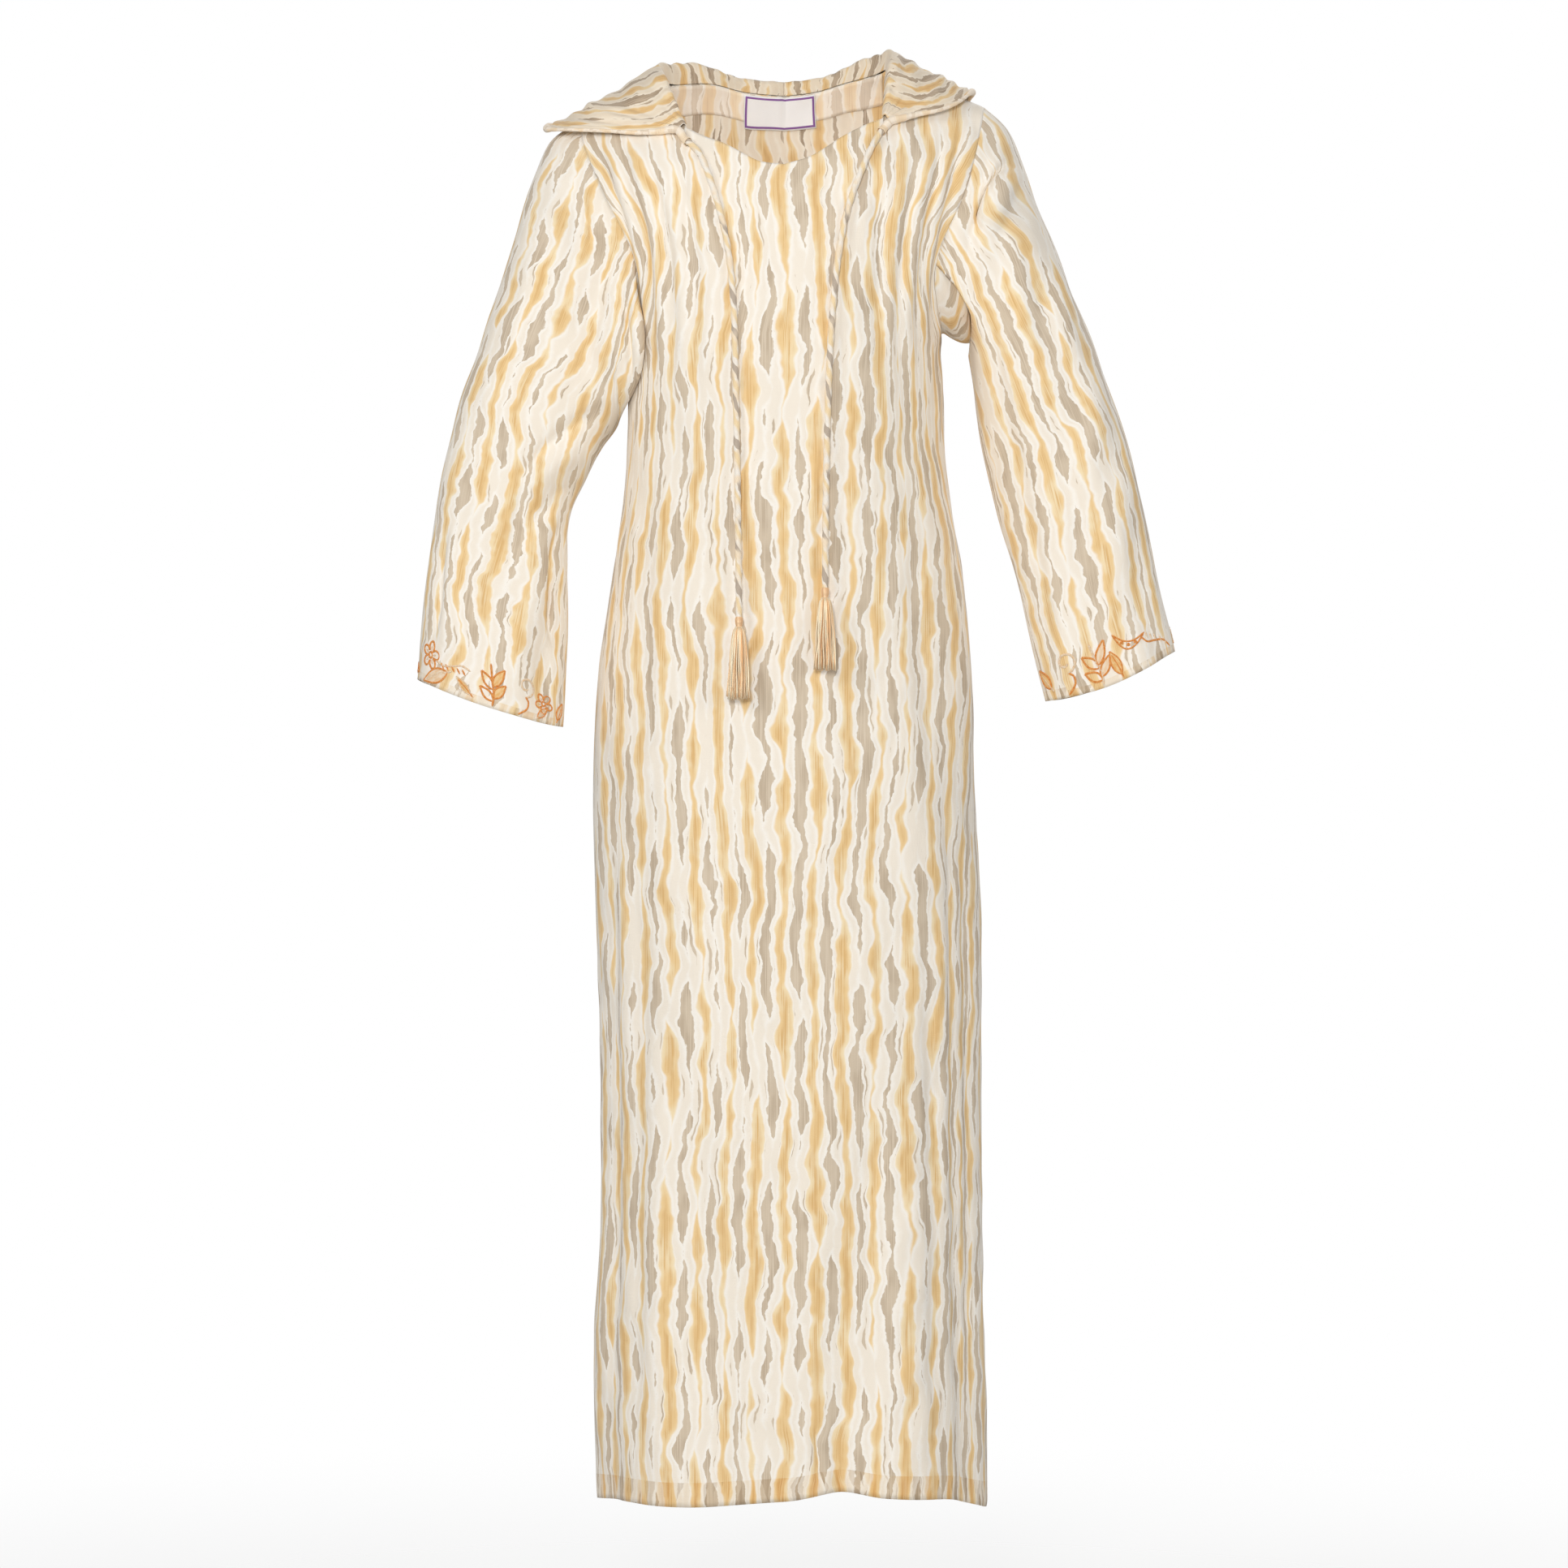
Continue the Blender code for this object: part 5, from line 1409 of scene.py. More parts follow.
def motif_lines(kind):
    """(lines, fills) of a motif, in metres: lines with half widths, leaves as (foot, length, half, turn)."""
    if kind == "flower":
        turn = np.linspace(0, 2 * math.pi, 51)
        radius = mix(FLOWER.inner, FLOWER.outer, np.abs(np.cos(turn * FLOWER.petals / 2)) ** 0.7)
        rim = np.stack([radius * np.cos(turn), radius * np.sin(turn)], -1)
        eye = 0.0020 * np.stack([np.cos(turn[::5]), np.sin(turn[::5])], -1)
        rays = [np.array([[math.cos(a), math.sin(a)]]) * np.array([[0.0028], [0.0060]]) for a in turn[:-1:10]]
        return [(rim, OUTLINE_HALF), (eye, OUTLINE_HALF), *[(ray, 0.0007) for ray in rays]], []
    if kind == "leaf":
        vein = np.array([[0.0, -0.003], [0.0004, 0.006], [0.0, 0.012]])
        return [(oval(0.017, 0.0040), OUTLINE_HALF), (vein, 0.0007)], [((0.0, 0.0), 0.017, 0.0036, 0.0)]
    if kind == "filled":
        vein = np.array([[0.0, -0.004], [0.0008, 0.008], [0.0, 0.022]])
        return [(oval(0.026, 0.0046), OUTLINE_HALF), (vein, 0.0009)], [((0.0, 0.0), 0.026, 0.0044, 0.0)]
    if kind == "sprig":
        stem = np.array([[0.0, -0.014], [0.0015, -0.006], [0.0005, 0.004], [0.0, 0.016]])
        pieces, fills = [(stem, 0.0008)], []
        for leaf in SPRIG_LEAVES:
            shape = turned_by(oval(leaf.length, 0.0030), leaf.turn) + np.array([0.0008, leaf.foot])
            pieces.append((shape, OUTLINE_HALF * 0.9))
            if leaf.turn < 0:
                fills.append(((0.0008, leaf.foot), leaf.length, 0.0026, leaf.turn))
        return pieces, fills
    if kind == "curl":
        t = np.linspace(0, 1, 26)
        turn = -math.pi / 2 + t * 2 * math.pi * 1.15
        radius = mix(0.0085, 0.0022, t)
        spiral = np.stack([radius * np.cos(turn) + 0.001, radius * np.sin(turn) + 0.008], -1)
        tail = np.array([[-0.004, -0.016], [0.003, -0.010], [0.004, -0.004], [0.001, -0.0005]])
        return [(spiral, 0.0009), (tail, OUTLINE_HALF)], []
    if kind == "pod":
        t = np.linspace(0, 1, 21)
        spine = np.stack([0.010 * np.sin(math.pi * t) - 0.004, -0.018 + 0.036 * t], -1)
        upper = spine + np.stack([0.0036 * np.sin(math.pi * t), 0 * t], -1)
        lower = spine - np.stack([0.0030 * np.sin(math.pi * t), 0 * t], -1)
        ring = 0.0011 * np.stack([np.cos(t * 2 * math.pi), np.sin(t * 2 * math.pi)], -1)
        dots = [(spine[k] + ring, 0.0009) for k in (6, 10, 14)]
        return [(upper, OUTLINE_HALF), (lower, OUTLINE_HALF), *dots], []
    stem = np.array([[0.0, -0.017], [0.0022, -0.008], [0.0, 0.002], [-0.0022, 0.010], [0.0, 0.018]])
    tick_places = (-0.011, -0.006, 0.000, 0.005, 0.010)
    ticks = [(np.array([[0.0005, y], [0.0045, y + 0.003]]), 0.0007) for y in tick_places]
    return [(stem, OUTLINE_HALF), *ticks], []


def turned_by(points, angle):
    c, s = math.cos(angle), math.sin(angle)
    return points @ np.array([[c, s], [-s, c]])


def on_cuff(side, rear, place, up):
    """Points and directions off a sleeve, so far round from its outer edge and so far up from its cuff."""
    grid = sleeves[side]
    out = normals(grid, True, side == "right")
    half = grid.shape[1] // 2
    order = (-np.arange(half + 1)) % grid.shape[1] if rear else np.arange(half + 1)
    ring = grid[-1][order]
    reach = reach_along(ring)
    rise = np.linalg.norm(grid[-12] - grid[-1], axis=-1).mean() / 11
    column_at = np.clip(np.interp(place, reach, np.arange(half + 1)), 0, half - 1e-6)
    row_at = np.clip(len(grid) - 1 - up / rise, 0, len(grid) - 1 - 1e-6)
    c, r = column_at.astype(int), row_at.astype(int)
    fc, fr = (column_at - c)[..., None], (row_at - r)[..., None]
    first, second = order[c], order[c + 1]
    found = []
    for field in (grid, out):
        above = mix(field[r, first], field[r, second], fc)
        below = mix(field[r + 1, first], field[r + 1, second], fc)
        found.append(mix(above, below, fr))
    return found[0], unit(found[1])


def dense(line):
    """The line's points closer together, on the smooth curve through them."""
    return through(line, max(4, int(reach_along(line)[-1] / STITCH_STEP)))


def gather(parts):
    """One set of points, faces, UVs and kinds from many small grids."""
    points, faces, uvs, kinds, first = [], [], [], [], 0
    for grid, uv, kind in parts:
        rows, columns = grid.shape[:2]
        faces.append(grid_faces(rows, columns) + first)
        points.append(grid.reshape(-1, 3))
        uvs.append(uv.reshape(-1, 2))
        kinds.append(np.full((rows - 1) * (columns - 1), kind))
        first += rows * columns
    return np.concatenate(points), np.concatenate(faces), np.concatenate(uvs), np.concatenate(kinds)


def small_grids_piece(name, parts, finishes):
    """A piece made of many small open grids of points, such as stitches: parts holds (points, UVs, kind)."""
    points, faces, uvs, kinds = gather(parts)
    mesh = bpy.data.meshes.new(name)
    mesh.from_pydata(points, [], faces.tolist())
    put_map(mesh, uvs[faces.ravel()])
    return placed(name, mesh, finishes, kinds)


def thread_ribbon(centre, out, half):
    """A domed ribbon of stitches along a line on the cloth, its ends drawn to a point."""
    forward = unit(np.gradient(centre, axis=0))
    side = unit(np.cross(forward, out))
    t = np.linspace(0, 1, len(centre))
    width = half * np.clip(np.minimum(t, 1 - t) * 12 + 0.35, 0, 1)
    across = np.array([-1.0, -0.6, 0.0, 0.6, 1.0])
    rise = np.array([-0.2, 0.7, 1.0, 0.7, -0.2])
    grid = centre[:, None] + side[:, None] * (across[None, :] * width[:, None])[..., None]
    grid = grid + out[:, None] * (rise[None, :] * STITCH_RISE)[..., None]
    return grid, np.stack(np.broadcast_arrays(across * half, reach_along(centre)[:, None]), -1)


def embroider(side, rear):
    """All stitches of one face of a cuff: fills first, then outlines over them."""
    parts = []
    for number, motif in enumerate(CUFF_MOTIFS[side]):
        lines, fills = motif_lines(motif.kind)
        mirror = -1.0 if (side == "right") != rear else 1.0
        sway = 0.35 * math.sin(number * 2.7) if rear else 0.0
        lowest = min(turned_by(line * motif.size, motif.turn + sway)[:, 1].min() for line, _ in lines)
        up = max(motif.up, CUFF_MARGIN - lowest)

        def laid(shape):
            local = turned_by(shape * motif.size, motif.turn + sway) * np.array([mirror, 1.0])
            return on_cuff(side, rear, motif.place + local[:, 0], up + local[:, 1])

        for foot, length, half, turn in fills:
            t = np.linspace(0, 1, LEAF_ROWS)[:, None]
            s = np.linspace(-1, 1, LEAF_COLUMNS)
            leaf = np.stack(np.broadcast_arrays(s * half * np.sin(math.pi * t**LEAF_FULL), length * t), -1)
            centre, out = laid(turned_by(leaf.reshape(-1, 2), turn) + np.array(foot))
            centre, out = centre.reshape(LEAF_ROWS, LEAF_COLUMNS, 3), out.reshape(LEAF_ROWS, LEAF_COLUMNS, 3)
            grid = centre + out * (STITCH_RISE * 0.6 * (1 - s**2) + 0.0002)[:, None]
            parts.append(facing_out(grid, leaf[..., ::-1], 1 if number % 2 else 2, out))
        for line, half in lines:
            centre, out = laid(dense(line))
            grid, uv = thread_ribbon(centre + out * 0.00025, out, half * motif.size)
            thread = 0 if (number + (len(line) > 4)) % 3 else 1
            parts.append(facing_out(grid, uv, thread, out[:, None]))
    return parts


def facing_out(grid, uv, kind, out):
    """Turns a small grid's order round where its faces would look into the cloth."""
    down = np.gradient(grid, axis=0)
    across = np.gradient(grid, axis=1)
    if (np.cross(down, across) * out).sum() < 0:
        grid, uv = grid[:, ::-1], uv[:, ::-1]
    return grid, uv, kind


copper_thread = satin("copper_thread", (0.82, 0.27, 0.05), (0.92, 0.42, 0.13))
peach_thread = satin("peach_thread", (0.93, 0.64, 0.38), (0.97, 0.80, 0.60))
gold_thread = satin("gold_thread", (0.93, 0.52, 0.18), (0.97, 0.68, 0.34))
THREADS = [copper_thread, peach_thread, gold_thread]
for side_name in SIDES:
    stitches = embroider(side_name, False) + embroider(side_name, True)
    piece = small_grids_piece(f"cuff_embroidery_{side_name}", stitches, THREADS)
    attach(piece, "root")

# Hood: two halves joined up the centre back and sewn round the neck from one front corner to the other, its
# face edge turned as a casing. It is dropped, so its sides spread over the shoulders, wrong side up.

Edge = namedtuple("Edge", "part across y z")
HOOD_EDGE = {
    "left": table_of(
        Edge,
        (0.00, 0.000, 0.151, -0.052),
        (0.15, 0.070, 0.143, -0.048),
        (0.30, 0.137, 0.117, -0.038),
        (0.45, 0.192, 0.074, -0.022),
        (0.55, 0.219, 0.026, -0.016),
        (0.62, 0.2245, -0.002, -0.0225),
        (0.70, 0.213, -0.026, -0.0255),
        (0.80, 0.175, -0.046, -0.0285),
        (0.90, 0.135, -0.058, -0.0325),
        (1.00, 0.0985, -0.062, -0.0360),
    ),
    "right": table_of(
        Edge,
        (0.00, 0.000, 0.151, -0.052),
        (0.15, 0.066, 0.142, -0.050),
        (0.30, 0.122, 0.115, -0.040),
        (0.45, 0.160, 0.074, -0.016),
        (0.55, 0.176, 0.030, 0.008),
        (0.62, 0.178, 0.002, 0.013),
        (0.70, 0.170, -0.022, 0.004),
        (0.80, 0.1525, -0.044, -0.0073),
        (0.90, 0.1250, -0.057, -0.0145),
        (1.00, 0.0985, -0.061, -0.0255),
    ),
}
Pouch = namedtuple("Pouch", "part across y z stand lean")
POUCH = table_of(
    Pouch,
    (0.00, 0.000, 0.136, -0.290, 0.012, 0.009),
    (0.15, 0.078, 0.130, -0.258, 0.012, 0.009),
    (0.30, 0.142, 0.104, -0.172, 0.014, 0.008),
    (0.45, 0.182, 0.066, -0.066, 0.019, 0.006),
    (0.62, 0.175, 0.008, 0.010, 0.017, 0.004),
    (0.80, 0.150, -0.036, -0.002, 0.010, 0.004),
    (1.00, 0.096, -0.056, -0.030, 0.001, 0.001),
)
NECK_SHARE = 0.62
POUCH_ENDS = 0.45
NAPE_SHARE = 0.45
WING_FOLD = 0.55
POUCH_FULL = 0.020
HOOD_KNOTS = (0.00, 0.07, 0.30, 0.55, 0.78, 1.00)
HOOD_GUIDES = 15
BACK_GUIDES = 9
CORNER_GUIDES = 4
HOOD_CLEAR = 0.0052
FINE_CLEAR = 0.0022
LAY_ROUNDS = 3
HOOD_ROWS = 110
HOOD_COLUMNS = 110
SEAM_HALF = 0.00015
SEAM_RISE = 0.0004
HOOD_WIDE = 0.27
HOOD_TALL = 0.46
HOOD_SEED = 91
HOOD_SOFT = (9.0, 14.0, 0.0006)
NECK_GATHERS = 11
NECK_GATHER_RISE = 0.0011
CASING_SEAM = 0.0007
CASING_PLACE = 0.935
HOOD_PRINT = {"left": PrintPlace(3.1, 0.2), "right": PrintPlace(3.9, 0.2)}
HoodCrease = namedtuple("HoodCrease", "step slope width depth low high")
HOOD_CREASES = {
    "left": table_of(
        HoodCrease,
        (0.30, 0.25, 0.050, -0.0016, 0.52, 0.98),
        (0.46, 0.30, 0.060, 0.0016, 0.54, 0.96),
        (0.64, 0.15, 0.055, -0.0016, 0.52, 0.92),
        (0.80, 0.05, 0.050, 0.0012, 0.54, 0.95),
        (0.30, -0.10, 0.050, -0.0050, 0.00, 0.50),
        (0.42, -0.20, 0.060, 0.0055, 0.02, 0.52),
        (0.68, 0.20, 0.055, 0.0045, 0.03, 0.50),
        (0.80, 0.10, 0.045, -0.0040, 0.02, 0.50),
    ),
    "right": table_of(
        HoodCrease,
        (0.32, 0.20, 0.055, -0.0016, 0.52, 0.98),
        (0.50, 0.24, 0.060, 0.0016, 0.54, 0.96),
        (0.68, 0.12, 0.055, -0.0016, 0.52, 0.92),
        (0.84, 0.02, 0.045, 0.0012, 0.54, 0.95),
        (0.28, -0.05, 0.050, -0.0050, 0.00, 0.50),
        (0.44, -0.24, 0.060, 0.0055, 0.02, 0.52),
        (0.66, 0.24, 0.055, 0.0045, 0.03, 0.50),
        (0.82, 0.06, 0.045, -0.0040, 0.02, 0.50),
    ),
}


def neck_seam(side, part):
    """(x, y, z) of the seam that carries the hood: the back neckline, then the front one to the corner."""
    sign = SIDES[side]
    back_u = sign * NECK_U * np.clip(part / NECK_SHARE, 0, 1)
    front_u = sign * mix(NECK_U, CORNER_U, np.clip((part - NECK_SHARE) / (1 - NECK_SHARE), 0, 1))
    back_x, back_z = top_edge(back_u, 1)
    front_x, front_z = top_edge(front_u, -1)
    on_back = part < NECK_SHARE
    x = np.where(on_back, back_x, front_x)
    z = np.where(on_back, back_z, front_z)
    return np.stack([x, np.where(on_back, body_y(x, z, 1), body_y(x, z, -1)), z], -1)


def lay_over(points, below, out, clear):
    """Moves each point that is lower than clear over the cloth below it out along that cloth's direction."""
    flat = points.reshape(-1, 3).copy()
    for _ in range(LAY_ROUNDS):
        for first in range(0, len(flat), 1200):
            some = flat[first : first + 1200]
            away = (some**2).sum(1)[:, None] + (below**2).sum(1)[None, :] - 2 * some @ below.T
            nearest = away.argmin(1)
            height = ((some - below[nearest]) * out[nearest]).sum(-1)
            flat[first : first + 1200] = some + out[nearest] * np.maximum(clear - height, 0)[:, None]
    return flat.reshape(points.shape)


def guide_columns():
    """The guides' places round the neck seam, from the centre back to the front corner."""
    round_back = np.linspace(0, NECK_SHARE, BACK_GUIDES + 1)
    return np.concatenate([round_back, np.linspace(NECK_SHARE, 1, CORNER_GUIDES + 1)[1:]])


def hood_guides(side, below, out):
    """Columns from the centre back seam to the front corner, rows from the neck seam to the face edge.

    Each column stands up from the neck, rolls over, falls to the pouch's lowest line and comes up again.
    """
    sign = SIDES[side]
    part = guide_columns()
    seam = neck_seam(side, part) + SEAM_RISE * UP
    stand = column(POUCH, "stand", part)
    lean = column(POUCH, "lean", part)
    angle = np.clip(part / NECK_SHARE, 0, 1) * math.pi / 2
    away = np.stack([sign * np.sin(angle), np.cos(angle), 0 * angle], -1)
    roll = seam + away * lean[:, None] + UP * stand[:, None]
    edge, low = (
        np.stack([column(table, name, part) for name in ("across", "y", "z")], -1) * np.array([sign, 1.0, 1.0])
        for table in (HOOD_EDGE[side], POUCH)
    )
    narrower = HOOD_EDGE[side][5].across / HOOD_EDGE["left"][5].across
    low[:, 0] *= mix(1.0, narrower, np.clip(part / NECK_SHARE, 0, 1))
    on_wing = np.clip((part - POUCH_ENDS) / (NECK_SHARE - POUCH_ENDS), 0, 1)[:, None]
    low = mix(low, mix(roll, edge, WING_FOLD), on_wing)
    first = mix(roll, low, NAPE_SHARE)
    second = mix(low, edge, 0.5) + (1 - on_wing) * POUCH_FULL * BACKWARD
    knots = np.array(HOOD_KNOTS)
    steps = np.linspace(0, 1, HOOD_GUIDES + 1)
    controls = np.stack([seam, roll, first, low, second, edge], 1)
    columns = [np.stack([smooth(steps, knots, line[:, k]) for k in range(3)], -1) for line in controls]
    grid = np.stack(columns, 1)
    over = np.clip((steps - knots[1]) / (knots[2] - knots[1]) * 2, 0, 1)[:, None, None]
    return mix(grid, lay_over(grid, below, out, HOOD_CLEAR), over)


def finer(grid, rows, columns):
    """The same surface on more rows and columns: smooth curves through the guides, both ways."""
    steps = np.linspace(0, 1, rows + 1)
    knots = np.linspace(0, 1, grid.shape[0])
    grid = np.stack([[smooth(steps, knots, grid[:, j, k]) for k in range(3)] for j in range(grid.shape[1])])
    grid = grid.transpose(2, 0, 1)
    steps = np.linspace(0, 1, columns + 1)
    knots = np.linspace(0, 1, grid.shape[1])
    grid = np.stack([[smooth(steps, knots, grid[i, :, k]) for k in range(3)] for i in range(rows + 1)])
    return grid.transpose(0, 2, 1)


def hood_relief(side, steps, part):
    """Folds along the hood, from the wings round to the pouch, and small gathers at the neck seam."""
    height = 0.0
    for crease in HOOD_CREASES[side]:
        middle = crease.step + crease.slope * (part - (crease.low + crease.high) / 2)
        window = ease(part, crease.low, crease.low + 0.14) * ease(-part, -crease.high, -crease.high + 0.14)
        height = height + crease.depth * np.exp(-(((steps - middle) / crease.width) ** 2)) * window
    near_seam = ease(steps, 0.01, 0.06) * ease(-steps, -0.26, -0.10)
    gathers = np.sin(part * 2 * math.pi * NECK_GATHERS + 1.3 * np.sin(part * 23))
    return height + NECK_GATHER_RISE * gathers * near_seam


def hood_cut(steps, part):
    """(across, along) on the flat half: curves from the neck seam up and over to the face edge."""
    tall = (1 - part) * HOOD_TALL
    across = part * HOOD_WIDE * ((1 - steps) ** 2 + 2 * steps * (1 - steps)) + HOOD_WIDE * steps**2
    along = tall * (2 * steps * (1 - steps) + steps**2)
    return across, along


def near_cloth():
    """Points and directions of the cloth under the hood: the panels above the waist, and the sleeves."""
    some = (slice(0, YOKE_ROWS + 30, 3), slice(None, None, 3))
    found = []
    for grid, around, flip in (
        (front, False, False),
        (back, False, True),
        (sleeves["left"], True, False),
        (sleeves["right"], True, True),
    ):
        out = normals(grid, around, flip)
        found.append([grid[some].reshape(-1, 3), out[some].reshape(-1, 3)])
    return [np.concatenate(kind) for kind in zip(*found)]


below, below_out = near_cloth()
hoods = {}
for side_name in SIDES:
    hood = finer(hood_guides(side_name, below, below_out), HOOD_ROWS, HOOD_COLUMNS)
    hood_steps = np.linspace(0, 1, HOOD_ROWS + 1)[:, None]
    even = np.linspace(0, 1, HOOD_COLUMNS + 1)
    guide_steps = np.linspace(0, 1, BACK_GUIDES + CORNER_GUIDES + 1)
    hood_part = smooth(even, guide_steps, guide_columns())[None, :]
    relief = hood_relief(side_name, hood_steps, hood_part)
    relief = relief + soft_relief(hood_part * 0.5, hood_steps * 0.5, HOOD_SEED, *HOOD_SOFT)
    relief = relief - CASING_SEAM * np.exp(-(((hood_steps - CASING_PLACE) / 0.010) ** 2))
    fade = ease(hood_steps, 0.02, 0.10) * ease(-hood_steps, -1.0, -0.92) * ease(hood_part, 0.0, 0.06)
    hood_out = normals(hood, False, side_name == "left")
    hood = hood + hood_out * (relief * fade)[..., None]
    lifted = lay_over(hood, below, below_out, FINE_CLEAR)
    hood = mix(hood, lifted, ease(hood_steps, 0.07, 0.16)[..., None])
    hood[:, 0, 0] = SIDES[side_name] * SEAM_HALF
    hoods[side_name] = hood
    hood_u, hood_v = hood_cut(hood_steps, hood_part)
    piece = grid_piece(
        f"printed_hood_{side_name}",
        hood,
        [right_side, hood_inside],
        hood_u + HOOD_PRINT[side_name].across,
        hood_v + HOOD_PRINT[side_name].along,
        flip=side_name == "left",
    )
    sewn_sheet(piece, VOILE, f"hood_{side_name}")

# Casing edge: the turned edge of the hood's face opening, a soft round fold that the drawstring runs through.
# It follows each half from the centre back to the front corner, where its mouth opens over the drawstring.

Round = namedtuple("Round", "part radius")
CASING = table_of(
    Round,
    (0.00, 0.0016),
    (0.80, 0.0017),
    (0.90, 0.0026),
    (0.955, 0.0040),
    (0.985, 0.0039),
    (1.00, 0.0042),
)
CASING_RINGS = 260
CASING_SIDES = 14
CASING_LIP = 0.0007
CASING_TIP = 0.0022
CASING_TIP_REACH = 0.035
CASING_MOUTH = 8
CASING_PUCKER = 0.05
CASING_PUCKERS = 260
CASING_WIDE = 0.02
CASING_PEACH = (0.96, 0.80, 0.62)


def casing_voile():
    """The print on the fold of the casing, half lost in peach where the cloth lies double."""
    made, shader = finish("casing_voile", 0.80, 0.20)
    around, along = cloth_place(made)
    colour = tint(0.62, print_colour(along, around, RIGHT_TONES), CASING_PEACH)
    paint(shader, colour, bump(patches(around, along, 120.0, 260.0, 2.0), 0.0006, 0.7))
    return made


casing_cloth = casing_voile()
for side_name in SIDES:
    cord_start = np.array(CORDS[side_name])
    half_way = (cord_start[:1] + cord_start[1:2]) / 2
    casing_path = through(np.concatenate([hoods[side_name][-1, ::5], cord_start[:1], half_way]), CASING_RINGS)
    casing_part = np.linspace(0, 1, CASING_RINGS)
    puckers = CASING_PUCKER * np.sin(casing_part * CASING_PUCKERS) * ease(casing_part, 0.0, 0.1)
    tip_part = casing_part[np.abs(casing_path[:, 0]).argmax()]
    at_tip = np.exp(-(((casing_part - tip_part) / CASING_TIP_REACH) ** 2))
    casing_radius = column(CASING, "radius", casing_part) * (1 + puckers) + CASING_TIP * at_tip
    outside = tube_points(casing_path, casing_radius[:, None], CASING_SIDES, UP)
    inside = tube_points(casing_path, casing_radius[-1] - CASING_LIP, CASING_SIDES, UP)
    turned_in = slice(-2, -2 - CASING_MOUTH, -1)
    casing_points = np.concatenate([outside, inside[turned_in]])
    casing_v = reach_along(np.concatenate([casing_path, casing_path[turned_in]]))[:, None]
    casing_u, casing_v = np.broadcast_arrays(np.linspace(0, CASING_WIDE, CASING_SIDES + 1), casing_v)
    piece = grid_piece(f"hood_casing_{side_name}", casing_points, [casing_cloth], casing_u, casing_v, True)
    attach(piece, "root")

# Back neck facing and label: a shaped band of the same voile inside the back neck, a little pinker for being
# double and painted paler as light on the shaded inside of the neck, and over its middle a small woven label,
# blank here, with a thin violet border.

FACING = 0.0007
FACING_ROWS = 8
FACING_GAP = 0.0005
FACING_LIT_PINK = (1.00, 0.90, 0.80)
LABEL = 0.0007
LABEL_FROM, LABEL_TO = -0.0395, 0.0305
LABEL_ROWS = 10
LABEL_WHITE = (0.98, 0.98, 0.99)
LABEL_VIOLET = (0.26, 0.11, 0.36)
LABEL_BORDER = 0.0021
LABEL_INSET = 0.0012


def lit_pink_voile():
    """The facing's voile: cloth that lies double, so a pinker tone of the print, and paler as painted light on
    the shaded inside of the neck.
    """
    made, shader = finish("facing_voile", 0.82, 0.20)
    across, along = cloth_place(made)
    # Painted light: the print is mixed 40% towards a pale pink, so the facing reads brighter than its shaded
    # place.
    colour = tint(0.40, print_colour(across, along, RIGHT_TONES), FACING_LIT_PINK)
    paint(shader, colour, crinkled_weave(across, along))
    return made


def label_weave(half_wide, tall):
    """Blank white damask with a thin violet line woven near its edge, ribbed across."""
    made, shader = finish("label_weave", 0.60, 0.15)
    across, along = cloth_place(made)
    inward = calc("MINIMUM", half_wide - abs(across), calc("MINIMUM", along, tall - along))
    line = abs(inward - (LABEL_INSET + LABEL_BORDER / 2))
    border = soft_step(line, LABEL_BORDER / 2 + 0.0002, LABEL_BORDER / 2 - 0.0002)
    rib = calc("SINE", along * (2 * math.pi / 0.0008))
    paint(shader, tint(border, LABEL_WHITE, LABEL_VIOLET), bump(rib, 0.00012, 0.6))
    return made


back_out = normals(back, False, True)
neck_columns = np.flatnonzero(np.abs(panel_columns()) < NECK_U - 1e-9)
facing = (back - back_out * (VOILE + FACING_GAP))[: FACING_ROWS + 1, neck_columns]
facing_piece = grid_piece(
    "back_neck_facing",
    facing,
    [lit_pink_voile()],
    (back_across + BACK_PRINT.across)[: FACING_ROWS + 1, neck_columns],
    (back_along + 2 * BACK_PRINT.along)[: FACING_ROWS + 1, neck_columns],
    flip=True,
)
sewn_sheet(facing_piece, FACING, "neck_facing")

label_columns = np.flatnonzero((back[0, :, 0] > LABEL_FROM) & (back[0, :, 0] < LABEL_TO))
label = (back - back_out * (VOILE + FACING + 3 * FACING_GAP))[: LABEL_ROWS + 1, label_columns]
label_across, label_along = cut_place(label)
label_across = label_across - (label_across[:, :1] + label_across[:, -1:]) / 2
label_along = np.repeat(label_along[:, label.shape[1] // 2, None], label.shape[1], axis=1)
label_piece = grid_piece(
    "blank_label",
    label,
    [label_weave(float(label_across.max()), float(label_along.max()))],
    label_across,
    label_along,
    flip=True,
)
sewn_sheet(label_piece, LABEL, "neck_label")

# Studio: a pale floor under the hanging dress, broad light from the front, soft light from the upper left and
# a little from the right and the back.

FLOOR_HEIGHT = -1.46
FLOOR_HALF = 1.9
FLOOR_SOLID = 0.35
FLOOR_PALE = (0.94, 0.94, 0.94)


def lamp(name, place, target, size, power):
    """A soft square light that looks at a point."""
    light = bpy.data.lights.new(name, "AREA")
    light.size = size
    light.energy = power
    made = bpy.data.objects.new(name, light)
    made.visible_camera = False
    made.location = place
    direction = np.array(target) - np.array(place)
    made.rotation_euler = (
        math.acos(-direction[2] / np.linalg.norm(direction)),
        0.0,
        math.atan2(direction[1], direction[0]) - math.pi / 2,
    )
    bpy.context.scene.collection.objects.link(made)


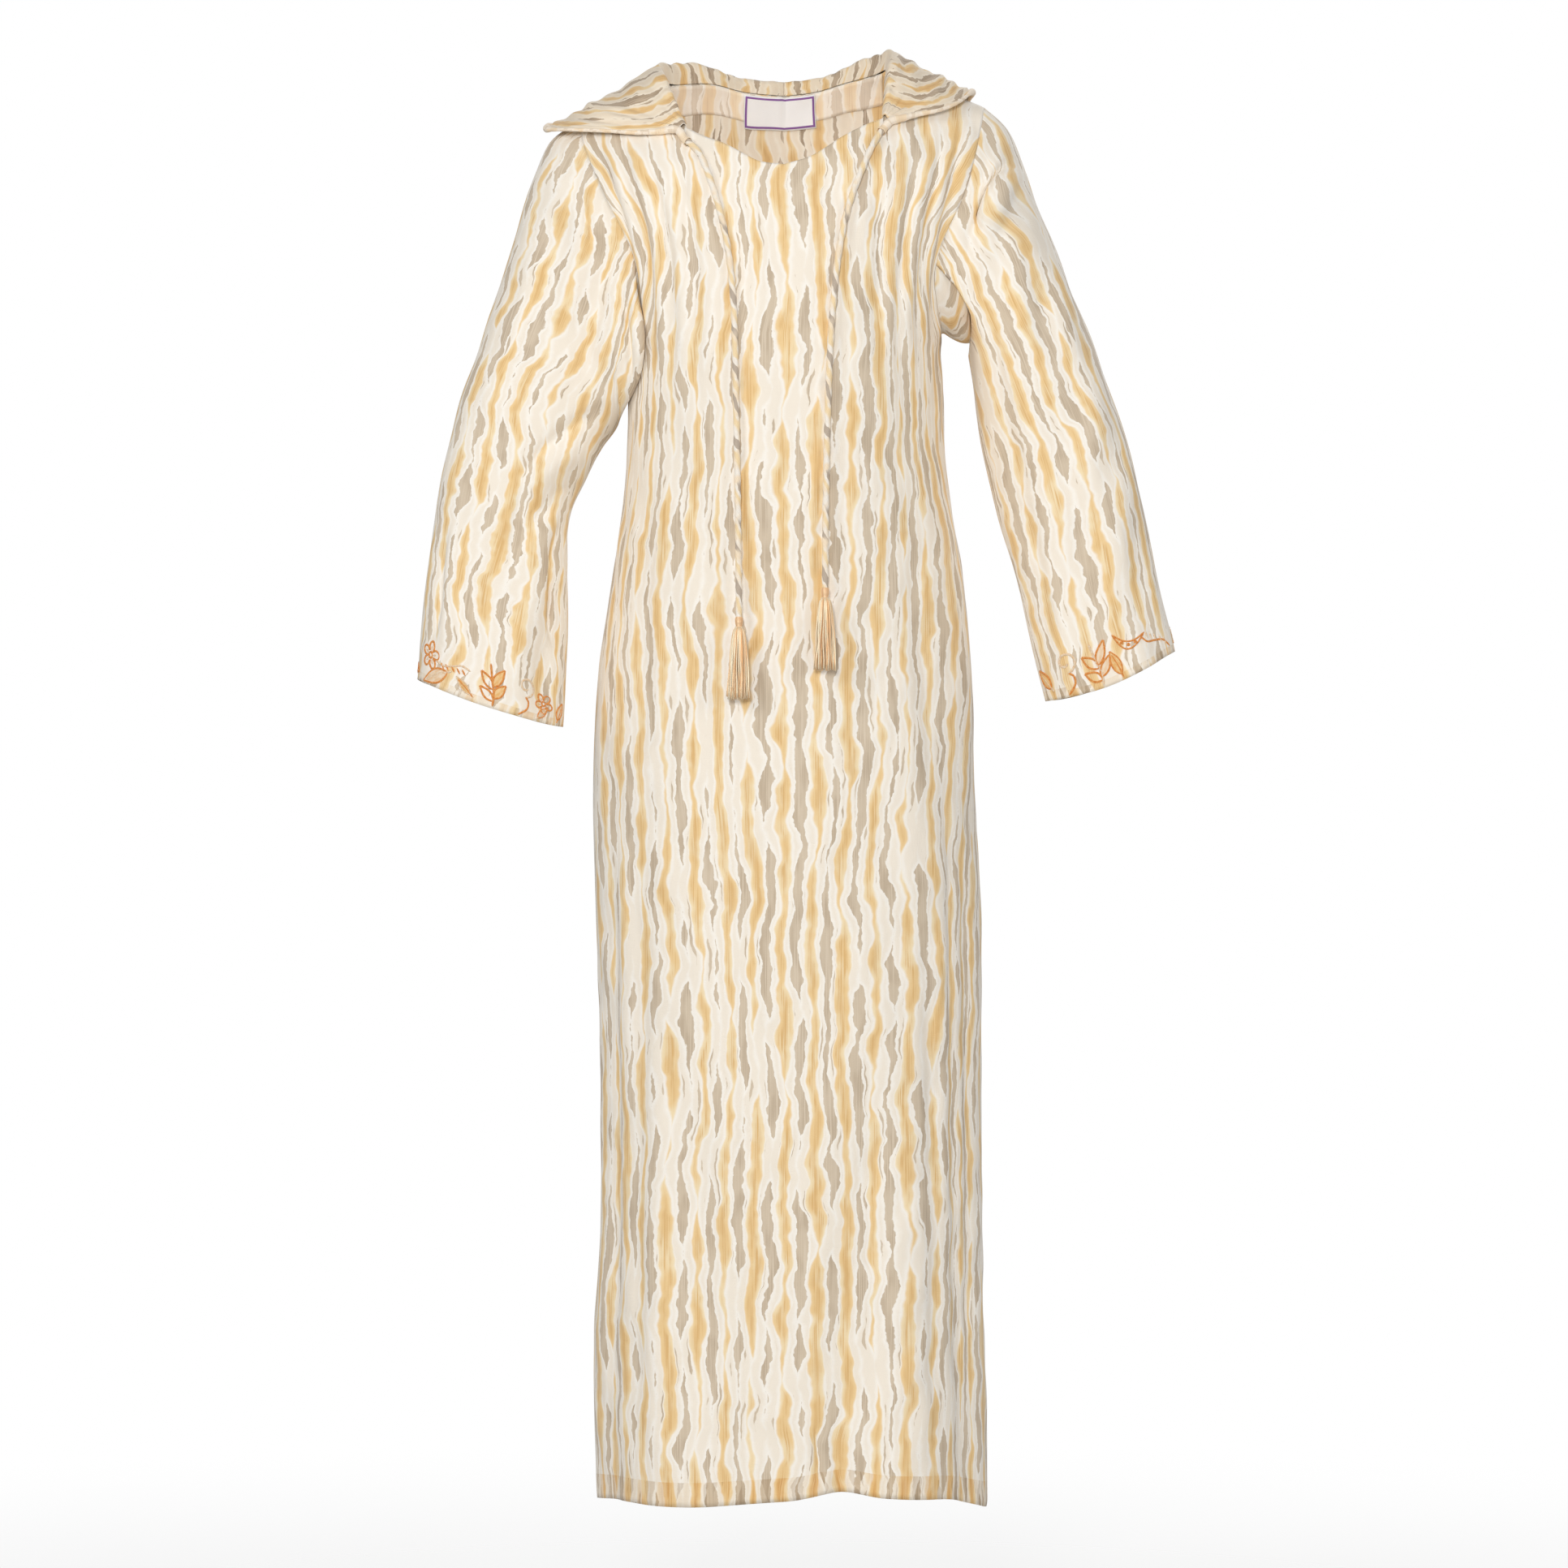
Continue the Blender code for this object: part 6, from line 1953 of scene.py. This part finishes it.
def studio_world():
    """White to the camera, and an even softer light on the dress."""
    world = bpy.data.worlds.new("studio")
    world.use_nodes = True
    strength = wire(world.node_tree, "ShaderNodeLightPath", output="Is Camera Ray") * 0.66 + 0.34
    background = world.node_tree.nodes["Background"]
    background.inputs["Color"].default_value = (1.0, 1.0, 1.0, 1.0)
    world.node_tree.links.new(strength.socket, background.inputs["Strength"])
    bpy.context.scene.world = world


def pale_floor():
    """White and matt under the dress, thinning out to nothing further off, so no line shows behind it."""
    made, shader = finish("pale_floor", 0.9)
    shader.inputs["Base Color"].default_value = (*FLOOR_PALE, 1.0)
    tree = made.node_tree
    place = wire(tree, "ShaderNodeTexCoord", output="Object")
    away = wire(tree, "ShaderNodeVectorMath", {0: place}, "Value", operation="LENGTH")
    solid = soft_step(away, FLOOR_HALF, 0.3) * FLOOR_SOLID
    clear = wire(tree, "ShaderNodeBsdfTransparent")
    mixed = wire(tree, "ShaderNodeMixShader", {0: solid, 1: clear, 2: Spot(shader.outputs[0])})
    tree.links.new(mixed.socket, tree.nodes["Material Output"].inputs["Surface"])
    mesh = bpy.data.meshes.new("floor")
    corners = [(-1, -1), (1, -1), (1, 1), (-1, 1)]
    mesh.from_pydata([(x * FLOOR_HALF, y * FLOOR_HALF, 0.0) for x, y in corners], [], [(0, 1, 2, 3)])
    mesh.materials.append(made)
    floor = bpy.data.objects.new("floor", mesh)
    floor.location = (0.0, 0.0, FLOOR_HEIGHT)
    bpy.context.scene.collection.objects.link(floor)


studio_world()
pale_floor()
lamp("front", (-0.5, -5.4, 0.5), (0.0, 0.0, -0.5), 1.0, 120.0)
lamp("key", (-2.6, -2.6, 1.2), (0.0, 0.0, -0.6), 1.2, 37.0)
lamp("fill", (2.6, -2.4, 0.3), (0.0, 0.0, -0.6), 1.2, 20.0)
lamp("back", (1.2, 3.0, 1.4), (0.0, 0.0, -0.6), 2.0, 60.0)
lamp("inner", (0.0, -0.01, -0.33), (0.0, 0.09, -0.03), 0.12, 0.24)
bpy.context.scene.view_settings.view_transform = "Standard"
